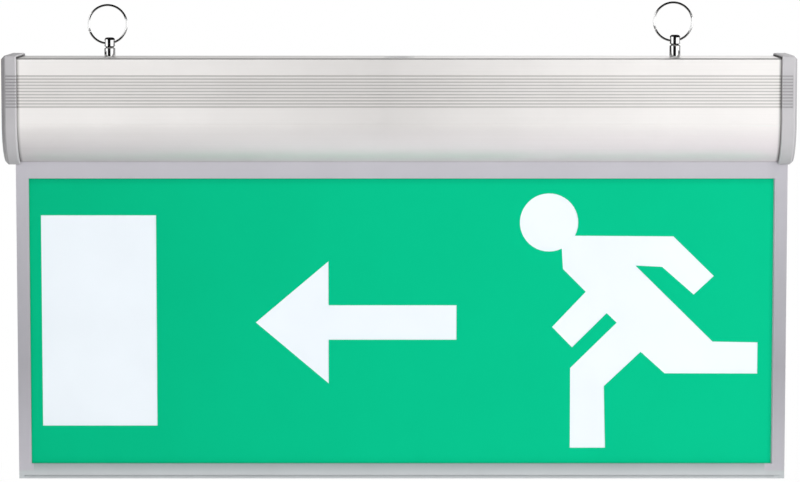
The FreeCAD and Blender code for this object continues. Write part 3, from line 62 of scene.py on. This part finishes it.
# Sky up to SKY_TOP as (azimuth, radiance), then what is above it. Its ramp holds shares of SKY_SCALE.
SKY = ((-180, 0.54), (-106, 0.54), (-98, 0.25), (-46, 0.25), (-38, 1.25), (0, 1.4), (46, 1.4), (54, 0.25),
       (97, 0.25), (105, 1.3), (180, 1.3))
SKY_SCALE = 2.0
SKY_TOP, SKY_HIGH = 35.0, 0.25
OVERHEAD_FROM, OVERHEAD = 60.0, 0.76
# What chrome sees instead: a dark studio, and cards as (azimuth, azimuth, elevation of the top). The floor
# mirrors them from CARD_DISTANCE on.
WHITE_CARDS = ((-95.0, -42.0, 30.0), (20.0, 97.0, 9.0))
GREY_CARD = (97.0, 150.0, 12.0)
CARD_DISTANCE = 1.8
CARD_WHITE, CARD_GREY, CARD_NONE = 2.0, 0.5, 0.012

# Faces of the housing, the caps and the sign's frame, its foot, and its top bar's lip over the legend
HOUSING_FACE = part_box("housing_extrusion")[1].y
CAP_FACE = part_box("end_cap_right")[1].y
FRAME_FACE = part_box("frame_bar_bottom")[1].y
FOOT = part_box("frame_bar_bottom")[0].z
BAR_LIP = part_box("frame_bar_top")[0].z
# Depth under a face at which the shade of its grooves has cleared
HAIR = 0.00001

# Levels that the finishes and their painted light and shade follow
TOP_ROUND = (-0.0004, 0.0001)
TOP_FACE = -0.0001
RIBS = (-0.0224, -0.0075)
SHOULDER = (-0.034, -0.0295)
BELLY = (-0.041, -0.03)
FRAME_HEIGHT = (FOOT + 0.0001, -0.046)
LEGEND_TOP = (BAR_LIP - 0.0032, BAR_LIP - 0.0012)
BOTTOM_BAR = (FOOT + 0.0028, FOOT + 0.0073)
TRIM_LINE = (FOOT + 0.001, FOOT + 0.0018)
TRIM_EDGE = (FOOT + 0.0006, FOOT + 0.001)
RING_HEIGHT = (0.006, 0.026)

# Spans along X that they follow
HOUSING_SPAN = (-0.1729, 0.1729)
HOUSING_RIGHT = (0.12, HOUSING_SPAN[1])
LEFT_END, RIGHT_END = (-0.1728, -0.1716), (0.1716, 0.1728)
CAP_GROOVE_SPAN = (-0.1782, 0.1782)
CAP_LIP_SPAN = (-0.17305, 0.17305)
LEGEND_SPAN = (-0.17, 0.172)
BAR_REFLECTION_SPAN = (-0.1685, 0.1685)
RIGHT_BAR = (0.168, 0.1705)

# Painted shade on both long faces: a tone that is full at one |Y| and clear at another, between two levels
# and within a span. It darkens the grooves of the housing and the caps, the housing's top edges and the
# frame's trim line.
Shade = namedtuple("Shade", "full clear tone levels span")
# Painted shade in the ribs' grooves and along the top's rounded and long edges, deeper at the right end
HOUSING_PAINTED_SHADES = (
    Shade(HOUSING_FACE - 0.0006, HOUSING_FACE - HAIR, 0.72, RIBS, HOUSING_SPAN),
    Shade(HOUSING_FACE - 0.0005, HOUSING_FACE - 0.0009, 0.42, TOP_ROUND, HOUSING_SPAN),
    Shade(HOUSING_FACE - 0.0002, HOUSING_FACE - 0.0085, 0.66, TOP_ROUND, HOUSING_SPAN),
    Shade(HOUSING_FACE - 0.0005, HOUSING_FACE - 0.0009, 0.4, TOP_ROUND, HOUSING_RIGHT),
)
# Painted shade in the frame's trim groove and on the edge below it
FRAME_PAINTED_SHADES = (
    Shade(FRAME_FACE - 0.0005, FRAME_FACE - HAIR, 0.85, TRIM_LINE, HOUSING_SPAN),
    Shade(FRAME_FACE, FRAME_FACE - 0.0005, 0.8, TRIM_EDGE, HOUSING_SPAN),
)
# Painted shade in the caps' grooves
CAP_PAINTED_SHADES = (Shade(CAP_FACE - 0.0004, CAP_FACE - HAIR, 0.7, RIBS, CAP_GROOVE_SPAN),)

# Painted light and shade, as tones by the share of a way: from the left end to the right, or from the lower
# level to the upper
# Painted light and shade along the housing's sides, darker towards the middle
SIDE_PAINTED_LIGHT = ((0.0, 1.0), (0.2, 0.94), (0.36, 0.845), (0.48, 0.775), (0.64, 0.885), (0.85, 0.985),
              (1.0, 1.0))
# Painted light on the housing's top face, lighter towards the middle
TOP_PAINTED_LIGHT = ((0.0, 0.93), (0.2, 1.08), (0.45, 1.24), (0.7, 1.1), (1.0, 1.0))
# Painted light and shade over the ribs, darker at the left
RIB_PAINTED_LIGHT = ((0.0, 0.935), (0.3, 0.955), (0.45, 1.03), (0.7, 1.0), (1.0, 0.98))
# Painted shade on the belly, deepest at the left
BELLY_PAINTED_SHADE = ((0.0, (0.67, 0.655, 0.68, 1.0)), (0.4, (0.815, 0.8, 0.83, 1.0)),
               (1.0, (0.87, 0.82, 0.87, 1.0)))
# Painted light where the sides turn into the belly
SHOULDER_PAINTED_LIGHT = ((0.0, 1.0), (0.5, 1.03), (0.85, 1.06), (1.0, 1.0))
# Painted shade on the housing's ends beside the caps' rims, deeper at the right
LEFT_END_SHADE, RIGHT_END_SHADE = 0.5, 0.33
# Painted shade on the frame, deepest a third of the way up
FRAME_PAINTED_SHADE = ((0.0, 0.97), (0.12, 0.92), (0.35, 0.76), (0.65, 0.86), (1.0, 1.01))
# Painted shade on the frame's right bar
RIGHT_BAR_SHADE = 0.95
# Painted shade and painted green reflection of the legend on the bottom bar, deepest next to the legend
BAR_SHADE_AND_REFLECTION = ((0.0, (1.04, 1.12, 1.06, 1.0)), (1.0, (0.62, 0.76, 0.7, 1.0)))
# Painted shadow of the top bar's lip on the legend
LEGEND_LIP_SHADOW = 0.88
# Painted reflection on the chrome rings: dark at the foot, darker at the top, bright half way up
RING_PAINTED_REFLECTION = ((0.0, 0.25), (0.12, 0.3), (0.3, 1.0), (0.68, 1.0), (0.85, 0.4), (1.0, 0.4))
# Painted light and shade on the caps by span: the whole left cap and its bevel darker, a painted highlight
# line and a darker line on the right bevel, painted highlights on both inner rims
CAP_LIGHT_AND_SHADE = (
    ((-0.19, 0.0), 0.93),
    ((-0.1799, -0.1779), 0.69),
    ((0.1785, 0.1791), 1.1),
    ((0.1791, 0.1799), 0.88),
    ((-0.1737, -0.1729), 1.26),
    ((0.1729, 0.1737), 1.06),
)
# Painted shade inside the caps' lip over the housing
CAP_LIP_SHADE = 0.3
SIDE_METALLIC, BELLY_METALLIC = 0.75, 0.25
# Scales of the die lines along each axis
DIE_LINES = (6.0, 5200.0, 5200.0)


def grey(value):
    """Neutral linear colour."""
    return (value, value, value, 1.0)


def srgb(red, green, blue):
    """Linear colour of an 8-bit screen colour."""
    shares = [channel / 255 for channel in (red, green, blue)]
    linear = [share / 12.92 if share <= 0.04045 else ((share + 0.055) / 1.055) ** 2.4 for share in shares]
    return (*linear, 1.0)


def scaled(colour, share):
    """A colour made lighter or darker, up to full."""
    return tuple(min(1.0, value * share) for value in colour[:3]) + (1.0,)


# Plain finishes: colour, roughness, scale and depth of the grain for the moulded ones
MOULDED = {
    "white_plastic": (srgb(233, 233, 228), 0.4, 1500.0, 0.00002),
    "grommet_rubber": (srgb(212, 212, 213), 0.62, 1500.0, 0.00003),
    "battery_sleeve": (srgb(42, 96, 60), 0.28, 400.0, 0.00003),
    "black_sleeve": (srgb(32, 33, 38), 0.3, 500.0, 0.00002),
    "dark_ferrite": (srgb(52, 50, 52), 0.6, 2500.0, 0.00003),
    "button_red": (srgb(190, 32, 30), 0.35, 2600.0, 0.00001),
    "led_yellow": (srgb(238, 205, 96), 0.3, 2600.0, 0.00001),
}
POLISHED = {
    "chrome": (grey(0.58), 0.0),
    "zinc_steel": (srgb(208, 206, 200), 0.24),
    "spring_steel": (srgb(180, 182, 186), 0.2),
    "brass": (srgb(214, 180, 106), 0.22),
}


class Tree:
    """A node tree. A source is the output of one of its nodes, or a number or colour."""

    def __init__(self, tree):
        self.nodes, self.links = tree.nodes, tree.links

    def plug(self, source, socket):
        """Links a source to a socket, or sets the socket to it."""
        if isinstance(source, (int, float, tuple)):
            socket.default_value = source
        else:
            self.links.new(source, socket)

    def math(self, operation, first, second=0.0):
        node = self.nodes.new("ShaderNodeMath")
        node.operation = operation
        self.plug(first, node.inputs[0])
        self.plug(second, node.inputs[1])
        return node.outputs[0]

    def between(self, source, low, high, low_in=0.3, high_in=0.7):
        """A value that runs from low to high as the source runs from low_in to high_in."""
        node = self.nodes.new("ShaderNodeMapRange")
        values = {"Value": source, "From Min": low_in, "From Max": high_in, "To Min": low, "To Max": high}
        for socket, value in values.items():
            self.plug(value, node.inputs[socket])
        return node.outputs["Result"]

    def inside(self, source, low, high):
        """1 where the source is between two values, and 0 elsewhere."""
        above = self.math("GREATER_THAN", source, low)
        return self.math("MULTIPLY", above, self.math("LESS_THAN", source, high))

    def split(self, vector):
        """The outputs X, Y and Z of a vector."""
        node = self.nodes.new("ShaderNodeSeparateXYZ")
        self.plug(vector, node.inputs["Vector"])
        return node.outputs

    def ramp(self, source, stops):
        """Colour ramp through (position, tone or colour) stops."""
        node = self.nodes.new("ShaderNodeValToRGB")
        elements = node.color_ramp.elements
        while len(elements) < len(stops):
            elements.new(0.5)
        for element, (position, colour) in zip(elements, stops):
            element.position = position
            element.color = colour if isinstance(colour, tuple) else grey(colour)
        self.plug(source, node.inputs["Fac"])
        return node.outputs["Color"]


class Look(Tree):
    """A node material: one Principled shader, with textures laid in the object's own axes."""

    def __init__(self, name, **sockets):
        self.material = bpy.data.materials.new(name)
        self.material.use_nodes = True
        super().__init__(self.material.node_tree)
        self.shader = self.nodes["Principled BSDF"]
        self.place = self.nodes.new("ShaderNodeTexCoord").outputs["Object"]
        for words, value in sockets.items():
            self.shader.inputs[words.replace("_", " ").title().replace("Ior", "IOR")].default_value = value

    def feed(self, socket, source):
        self.plug(source, self.shader.inputs[socket])

    def axis(self, name):
        """One coordinate of the place, in metres."""
        return self.split(self.place)[name]

    def stretched(self, along, across, up):
        """The object's coordinates scaled along each axis."""
        mapping = self.nodes.new("ShaderNodeMapping")
        mapping.inputs["Scale"].default_value = (along, across, up)
        self.plug(self.place, mapping.inputs["Vector"])
        return mapping.outputs["Vector"]

    def noise(self, scale, detail=2.0, vector=None):
        node = self.nodes.new("ShaderNodeTexNoise")
        node.inputs["Scale"].default_value = scale
        node.inputs["Detail"].default_value = detail
        self.plug(vector or self.place, node.inputs["Vector"])
        return node.outputs["Fac"]

    def shade(self, full, clear, tone, levels, span):
        """Tone of a painted Shade, by place."""
        faded = self.between(self.math("ABSOLUTE", self.axis("Y")), tone, 1.0, full, clear)
        level = self.inside(self.axis("Z"), *levels)
        within = self.math("MULTIPLY", level, self.inside(self.axis("X"), *span))
        return self.math("SUBTRACT", 1.0, self.math("MULTIPLY", self.math("SUBTRACT", 1.0, faded), within))

    def mix(self, share, first, second, blend="MIX"):
        """first blended towards second by a share, in one of Blender's blend modes."""
        node = self.nodes.new("ShaderNodeMix")
        node.data_type = "RGBA"
        node.blend_type = blend
        colours = [socket for socket in node.inputs if socket.type == "RGBA"]
        self.plug(share, node.inputs["Factor"])
        self.plug(first, colours[0])
        self.plug(second, colours[1])
        return [socket for socket in node.outputs if socket.type == "RGBA"][0]

    def multiply(self, first, second):
        """Product of two colours."""
        return self.mix(1.0, first, second, "MULTIPLY")

    def where(self, share, tone):
        """A tone where share is 1, and no change of colour where it is 0."""
        return self.mix(share, grey(1.0), tone)

    def tint(self, *factors):
        """Multiplies the base colour by tones or colours."""
        body = self.shader.inputs["Base Color"].links[0].from_socket
        for factor in factors:
            body = self.multiply(body, factor)
        self.feed("Base Color", body)

    def bump(self, height, strength, depth):
        node = self.nodes.new("ShaderNodeBump")
        node.inputs["Strength"].default_value = strength
        node.inputs["Distance"].default_value = depth
        self.plug(height, node.inputs["Height"])
        self.feed("Normal", node.outputs["Normal"])


# Finishes. The first three are returned as looks, unfinished, so that a piece can add to their colour.
def anodised(name, colour, metallic, roughness, depth, shades=()):
    """Satin anodised extrusion: fine die lines along X, as deep as depth, with a faint cloudiness."""
    look = Look(name, metallic=metallic)
    lines = look.noise(scale=1.0, detail=3.0, vector=look.stretched(*DIE_LINES))
    clouds = look.noise(scale=38.0, detail=3.0)
    look.feed("Base Color", look.ramp(clouds, ((0.3, colour), (0.7, scaled(colour, 1.035)))))
    look.tint(look.ramp(lines, ((0.25, 0.955), (0.75, 1.0))))
    # Painted shade from the piece's Shades
    look.tint(*[look.shade(*shade) for shade in shades])
    look.feed("Roughness", look.between(lines, roughness - 0.04, roughness + 0.05))
    look.bump(lines, strength=0.35, depth=depth)
    return look


def moulded(name, colour, roughness, grain, depth, shades=()):
    """Moulded plastic or rubber with a fine eroded grain."""
    look = Look(name)
    grains = look.noise(scale=grain, detail=4.0)
    patches = look.noise(scale=60.0)
    look.feed("Base Color", look.ramp(patches, ((0.35, scaled(colour, 0.95)), (0.65, colour))))
    # Painted shade from the piece's Shades
    look.tint(*[look.shade(*shade) for shade in shades])
    look.feed("Roughness", look.between(grains, roughness - 0.06, roughness + 0.06))
    look.bump(grains, strength=0.3, depth=depth)
    return look


def polished(name, colour, roughness):
    """Plated or polished metal with a very slight ripple of the plating."""
    look = Look(name, metallic=1.0, roughness=roughness)
    ripple = look.noise(scale=900.0, detail=1.0)
    look.feed("Base Color", look.ramp(ripple, ((0.3, scaled(colour, 0.97)), (0.7, colour))))
    look.bump(ripple, strength=0.02, depth=0.00001)
    return look


def housing_aluminium():
    """Painted light and shade along the housing, with its own on the top, the ribs, the shoulder and the
    belly. Painted shade darkens its grooves, its top's edges and its ends beside the caps, and the belly is
    less metallic."""
    look = anodised("housing_aluminium", srgb(251, 248, 246), metallic=SIDE_METALLIC, roughness=0.42,
                    depth=0.00001, shades=HOUSING_PAINTED_SHADES)
    x, z = look.axis("X"), look.axis("Z")
    along = look.between(x, 0.0, 1.0, *HOUSING_SPAN)
    upright = look.between(z, 0.0, 1.0, *BELLY)
    # Painted light and shade on the sides, belly, shoulder, ribs and top, and painted shade at both ends
    look.tint(
        look.mix(upright, look.ramp(along, BELLY_PAINTED_SHADE), look.ramp(along, SIDE_PAINTED_LIGHT)),
        look.ramp(look.between(z, 0.0, 1.0, *SHOULDER), SHOULDER_PAINTED_LIGHT),
        look.where(look.inside(z, *RIBS), look.ramp(along, RIB_PAINTED_LIGHT)),
        look.where(look.math("GREATER_THAN", z, TOP_FACE), look.ramp(along, TOP_PAINTED_LIGHT)),
        look.between(x, LEFT_END_SHADE, 1.0, *LEFT_END),
        look.between(x, 1.0, RIGHT_END_SHADE, *RIGHT_END),
    )
    look.feed("Metallic", look.between(upright, BELLY_METALLIC, SIDE_METALLIC, 0.0, 1.0))
    return look.material


def frame_aluminium():
    """Painted shade makes the sign's frame a little darker half way down and at its right bar. Painted
    shade and a painted green reflection of the legend darken its bottom bar towards the legend, and painted
    shade darkens the trim line above its foot."""
    look = anodised("frame_aluminium", srgb(199, 197, 204), metallic=0.6, roughness=0.45,
                    depth=0.00001, shades=FRAME_PAINTED_SHADES)
    x, z = look.axis("X"), look.axis("Z")
    below = look.math("LESS_THAN", z, BOTTOM_BAR[1])
    bar = look.math("MULTIPLY", look.inside(x, *BAR_REFLECTION_SPAN), below)
    # Painted shade and painted green reflection of the legend on the bottom bar
    glow = look.ramp(look.between(z, 0.0, 1.0, *BOTTOM_BAR), BAR_SHADE_AND_REFLECTION)
    look.tint(
        # Painted shade on the frame half way down and on its right bar
        look.ramp(look.between(z, 0.0, 1.0, *FRAME_HEIGHT), FRAME_PAINTED_SHADE),
        look.between(x, 1.0, RIGHT_BAR_SHADE, *RIGHT_BAR),
        look.mix(1.0, glow, look.math("SUBTRACT", 1.0, bar), "LIGHTEN"),
    )
    return look.material


def cap_plastic():
    """Painted shade darkens the caps in their grooves, on the bevel round the outer end, most at the left,
    and inside the lip over the housing. Painted highlights make their inner rims lighter."""
    look = moulded("cap_plastic", srgb(192, 190, 193), roughness=0.46, grain=3200.0,
                   depth=0.00002, shades=CAP_PAINTED_SHADES)
    x, z = look.axis("X"), look.axis("Z")
    # Painted shade inside the lip over the housing
    lip = look.math("MULTIPLY", look.inside(x, *CAP_LIP_SPAN), look.math("GREATER_THAN", z, 0.0))
    look.tint(look.between(lip, 1.0, CAP_LIP_SHADE, 0.0, 1.0))
    # Painted light and shade in bands across the caps
    look.tint(*[look.between(look.inside(x, *span), 1.0, tone, 0.0, 1.0) for span, tone in CAP_LIGHT_AND_SHADE])
    return look.material


def ring_chrome():
    """Painted reflection on the rings' chrome: brightest half way up, duller at the top and darkest where
    they hang in the posts."""
    look = polished("chrome_ring", grey(0.98), roughness=0.0)
    height = look.between(look.axis("Z"), 0.0, 1.0, *RING_HEIGHT)
    # Painted reflection by height on the chrome
    look.tint(look.ramp(height, RING_PAINTED_REFLECTION))
    return look.material


def legend_green():
    """Printed green of the legend under a thin satin laminate, with painted light leaving it a little
    deeper at the left and a painted shadow under the top bar's lip."""
    look = Look("legend_green", specular_ior_level=0.04)
    along = look.between(look.axis("X"), 0.0, 1.0, *LEGEND_SPAN)
    # Painted light: the green is a little deeper at the left
    greens = ((0.0, srgb(0, 184, 131)), (0.5, srgb(0, 192, 139)), (1.0, srgb(0, 193, 140)))
    look.feed("Base Color", look.ramp(along, greens))
    for scale in (2600.0, 22.0):
        look.tint(look.ramp(look.noise(scale), ((0.3, 0.975), (0.7, 1.0))))
    # Painted shadow of the top bar's lip
    look.tint(look.between(look.axis("Z"), 1.0, LEGEND_LIP_SHADOW, *LEGEND_TOP))
    look.feed("Roughness", look.between(look.noise(scale=300.0, detail=3.0), 0.3, 0.42))
    look.bump(look.noise(scale=120.0), strength=0.08, depth=0.0001)
    return look.material


def opal():
    """Opal acrylic: bright cool white with a soft gloss."""
    look = Look("opal_acrylic", roughness=0.22, specular_ior_level=0.2)
    veil = look.noise(scale=26.0)
    look.feed("Base Color", look.ramp(veil, ((0.3, srgb(234, 241, 247)), (0.7, srgb(238, 245, 251)))))
    look.bump(look.noise(scale=420.0), strength=0.05, depth=0.00005)
    return look.material


def clear_plastic(name, colour):
    """Clear acrylic, bare or tinted, with a faint haze."""
    look = Look(name, transmission_weight=0.9, ior=1.49)
    haze = look.noise(scale=500.0)
    look.feed("Base Color", look.ramp(haze, ((0.3, colour), (0.7, scaled(colour, 1.04)))))
    look.feed("Roughness", look.between(haze, 0.04, 0.1))
    return look.material


def circuit_board(name, colour):
    """Solder mask over copper tracks that show as slightly raised lines."""
    look = Look(name, roughness=0.35)
    bricks = look.nodes.new("ShaderNodeTexBrick")
    values = {
        "Scale": 160.0,
        "Mortar Size": 0.08,
        "Color1": colour,
        "Color2": scaled(colour, 0.86),
        "Mortar": scaled(colour, 1.35),
    }
    for socket, value in values.items():
        bricks.inputs[socket].default_value = value
    look.plug(look.place, bricks.inputs["Vector"])
    look.feed("Base Color", bricks.outputs["Color"])
    look.bump(bricks.outputs["Fac"], strength=0.2, depth=0.00003)
    return look.material


def all_looks():
    """Material for each of the record's slots, and the rings' own."""
    looks = {name: moulded(name, *values).material for name, values in MOULDED.items()}
    looks.update({name: polished(name, *values).material for name, values in POLISHED.items()})
    plain = anodised("plain_aluminium", srgb(205, 205, 206), metallic=0.9, roughness=0.32, depth=0.00002)
    looks.update({
        "housing_aluminium": housing_aluminium(),
        "frame_aluminium": frame_aluminium(),
        "plain_aluminium": plain.material,
        "cap_plastic": cap_plastic(),
        "ring": ring_chrome(),
        "circuit_board": circuit_board("circuit_board", srgb(24, 98, 58)),
        "white_board": circuit_board("white_board", srgb(226, 228, 226)),
        "clear_acrylic": clear_plastic("clear_acrylic", srgb(243, 248, 247)),
        "lamp_green": clear_plastic("lamp_green", srgb(60, 196, 90)),
        "opal_acrylic": opal(),
        "legend_green": legend_green(),
    })
    return looks


def dress_nodes(looks):
    """Gives each slot of each node its look, and the rings their own."""
    for name, item in frame["nodes"].items():
        for slot in item.material_slots:
            look = "ring" if name.startswith("ring_") else slot.material.name.split(".")[0]
            slot.material = looks[look]


# Studio
def camera():
    """Camera at the photograph's viewing angle."""
    data = bpy.data.cameras.new("camera")
    data.sensor_width = SENSOR
    data.lens = LENS
    item = bpy.data.objects.new("camera", data)
    bpy.context.scene.collection.objects.link(item)
    back = Vector((0.0, -math.cos(PITCH), math.sin(PITCH)))
    item.location = AIM + back * DISTANCE
    item.rotation_mode = "QUATERNION"
    item.rotation_quaternion = (-back).to_track_quat("-Z", "Y")
    bpy.context.scene.camera = item


def softbox(name, place, size, radiance):
    """White panel that shines at the sign. It lights the surfaces and isn't mirrored in them."""
    width, height = size
    data = bpy.data.lights.new(name, "AREA")
    data.shape = "RECTANGLE"
    data.size = width
    data.size_y = height
    data.energy = radiance * math.pi * width * height
    item = bpy.data.objects.new(name, data)
    bpy.context.scene.collection.objects.link(item)
    item.location = place
    item.rotation_mode = "QUATERNION"
    item.rotation_quaternion = (AIM - Vector(place)).to_track_quat("-Z", "Y")
    item.visible_glossy = False


def rise(elevation):
    """Height of a unit direction at an elevation."""
    return math.sin(math.radians(elevation))


class Level(Tree):
    """Levels of light by direction, in the node tree of the world or the floor."""

    def blend(self, share, first, second):
        """first where share is 0, second where it is 1."""
        kept = self.math("MULTIPLY", first, self.math("SUBTRACT", 1.0, share))
        return self.math("ADD", kept, self.math("MULTIPLY", second, share))

    def azimuth(self, along):
        """Degrees to the right of straight in front, from a direction or a place."""
        back = self.math("MULTIPLY", along["Y"], -1.0)
        return self.math("MULTIPLY", self.math("ARCTAN2", along["X"], back), math.degrees(1.0))

    def card(self, azimuth, height, start, end, top):
        """1 where a card stands, by azimuth and the height of a unit direction."""
        below = self.math("LESS_THAN", height, rise(top))
        return self.math("MULTIPLY", self.inside(azimuth, start, end), below)

    def cards(self, azimuth, height):
        """What chrome sees in a direction."""
        whites = [self.card(azimuth, height, *card) for card in WHITE_CARDS]
        rest = self.blend(self.card(azimuth, height, *GREY_CARD), CARD_NONE, CARD_GREY)
        return self.blend(self.math("ADD", *whites), rest, CARD_WHITE)

    def sky(self, azimuth, height):
        """Radiance of the soft sky in a direction."""
        turn = self.math("ADD", self.math("DIVIDE", azimuth, TURN), 0.5)
        stops = [(degrees / TURN + 0.5, radiance / SKY_SCALE) for degrees, radiance in SKY]
        low = self.math("MULTIPLY", self.ramp(turn, stops), SKY_SCALE)
        high = self.math("GREATER_THAN", height, rise(SKY_TOP))
        overhead = self.math("GREATER_THAN", height, rise(OVERHEAD_FROM))
        return self.blend(overhead, self.blend(high, low, SKY_HIGH), OVERHEAD)


def floor_paper():
    """Pale paper that keeps the shadow and turns white to the camera with the distance. Chrome sees the
    cards mirrored in it, and nothing of it close by."""
    material = bpy.data.materials.new("floor_paper")
    material.use_nodes = True
    level = Level(material.node_tree)
    nodes = level.nodes
    shader = nodes["Principled BSDF"]
    shader.inputs["Base Color"].default_value = grey(FLOOR_GREY)
    shader.inputs["Roughness"].default_value = 0.9
    shader.inputs["Specular IOR Level"].default_value = 0.0
    path = nodes.new("ShaderNodeLightPath").outputs
    mirrored = path["Is Singular Ray"]
    place = nodes.new("ShaderNodeTexCoord").outputs["Object"]
    reach = nodes.new("ShaderNodeVectorMath")
    reach.operation = "LENGTH"
    level.plug(place, reach.inputs[0])
    distance = reach.outputs["Value"]
    far = level.math("GREATER_THAN", distance, CARD_DISTANCE)
    card = level.blend(far, CARD_NONE, level.cards(level.azimuth(level.split(place)), 0.0))
    glow = nodes.new("ShaderNodeEmission")
    level.plug(level.blend(mirrored, 1.0, card), glow.inputs["Strength"])
    fade = level.between(distance, *FLOOR_WHITE, *FLOOR_FADE)
    white = level.math("MULTIPLY", path["Is Camera Ray"], fade)
    mix = nodes.new("ShaderNodeMixShader")
    level.plug(level.math("MAXIMUM", white, mirrored), mix.inputs["Fac"])
    level.plug(shader.outputs["BSDF"], mix.inputs[1])
    level.plug(glow.outputs["Emission"], mix.inputs[2])
    level.plug(mix.outputs["Shader"], nodes["Material Output"].inputs["Surface"])
    return material


def floor():
    """Large square of the paper, well below the sign."""
    half = FLOOR_SIZE / 2
    mesh = bpy.data.meshes.new("floor")
    corners = [(x, y, FLOOR_LEVEL) for x, y in ((-half, -half), (half, -half), (half, half), (-half, half))]
    mesh.from_pydata(corners, [], [(0, 1, 2, 3)])
    mesh.materials.append(floor_paper())
    item = bpy.data.objects.new("floor", mesh)
    bpy.context.scene.collection.objects.link(item)


def world():
    """White to the camera and through glass, the cards to chrome, and the soft sky to all else."""
    made = bpy.data.worlds.new("studio")
    made.use_nodes = True
    bpy.context.scene.world = made
    level = Level(made.node_tree)
    nodes = level.nodes
    path = nodes.new("ShaderNodeLightPath").outputs
    direction = level.split(nodes.new("ShaderNodeTexCoord").outputs["Generated"])
    azimuth, height = level.azimuth(direction), direction["Z"]
    light = level.blend(path["Is Singular Ray"], level.sky(azimuth, height), level.cards(azimuth, height))
    seen = level.math("MAXIMUM", path["Is Camera Ray"], path["Is Transmission Ray"])
    background = nodes["Background"].inputs
    background["Color"].default_value = grey(1.0)
    level.plug(level.blend(seen, light, 1.0), background["Strength"])


def studio():
    """Lamps, floor, world and camera, at a plain level."""
    for name, (place, size, radiance) in KEYS.items():
        softbox(name, place, size, radiance)
    floor()
    world()
    camera()
    bpy.context.scene.view_settings.view_transform = "Standard"


dress_nodes(all_looks())
studio()
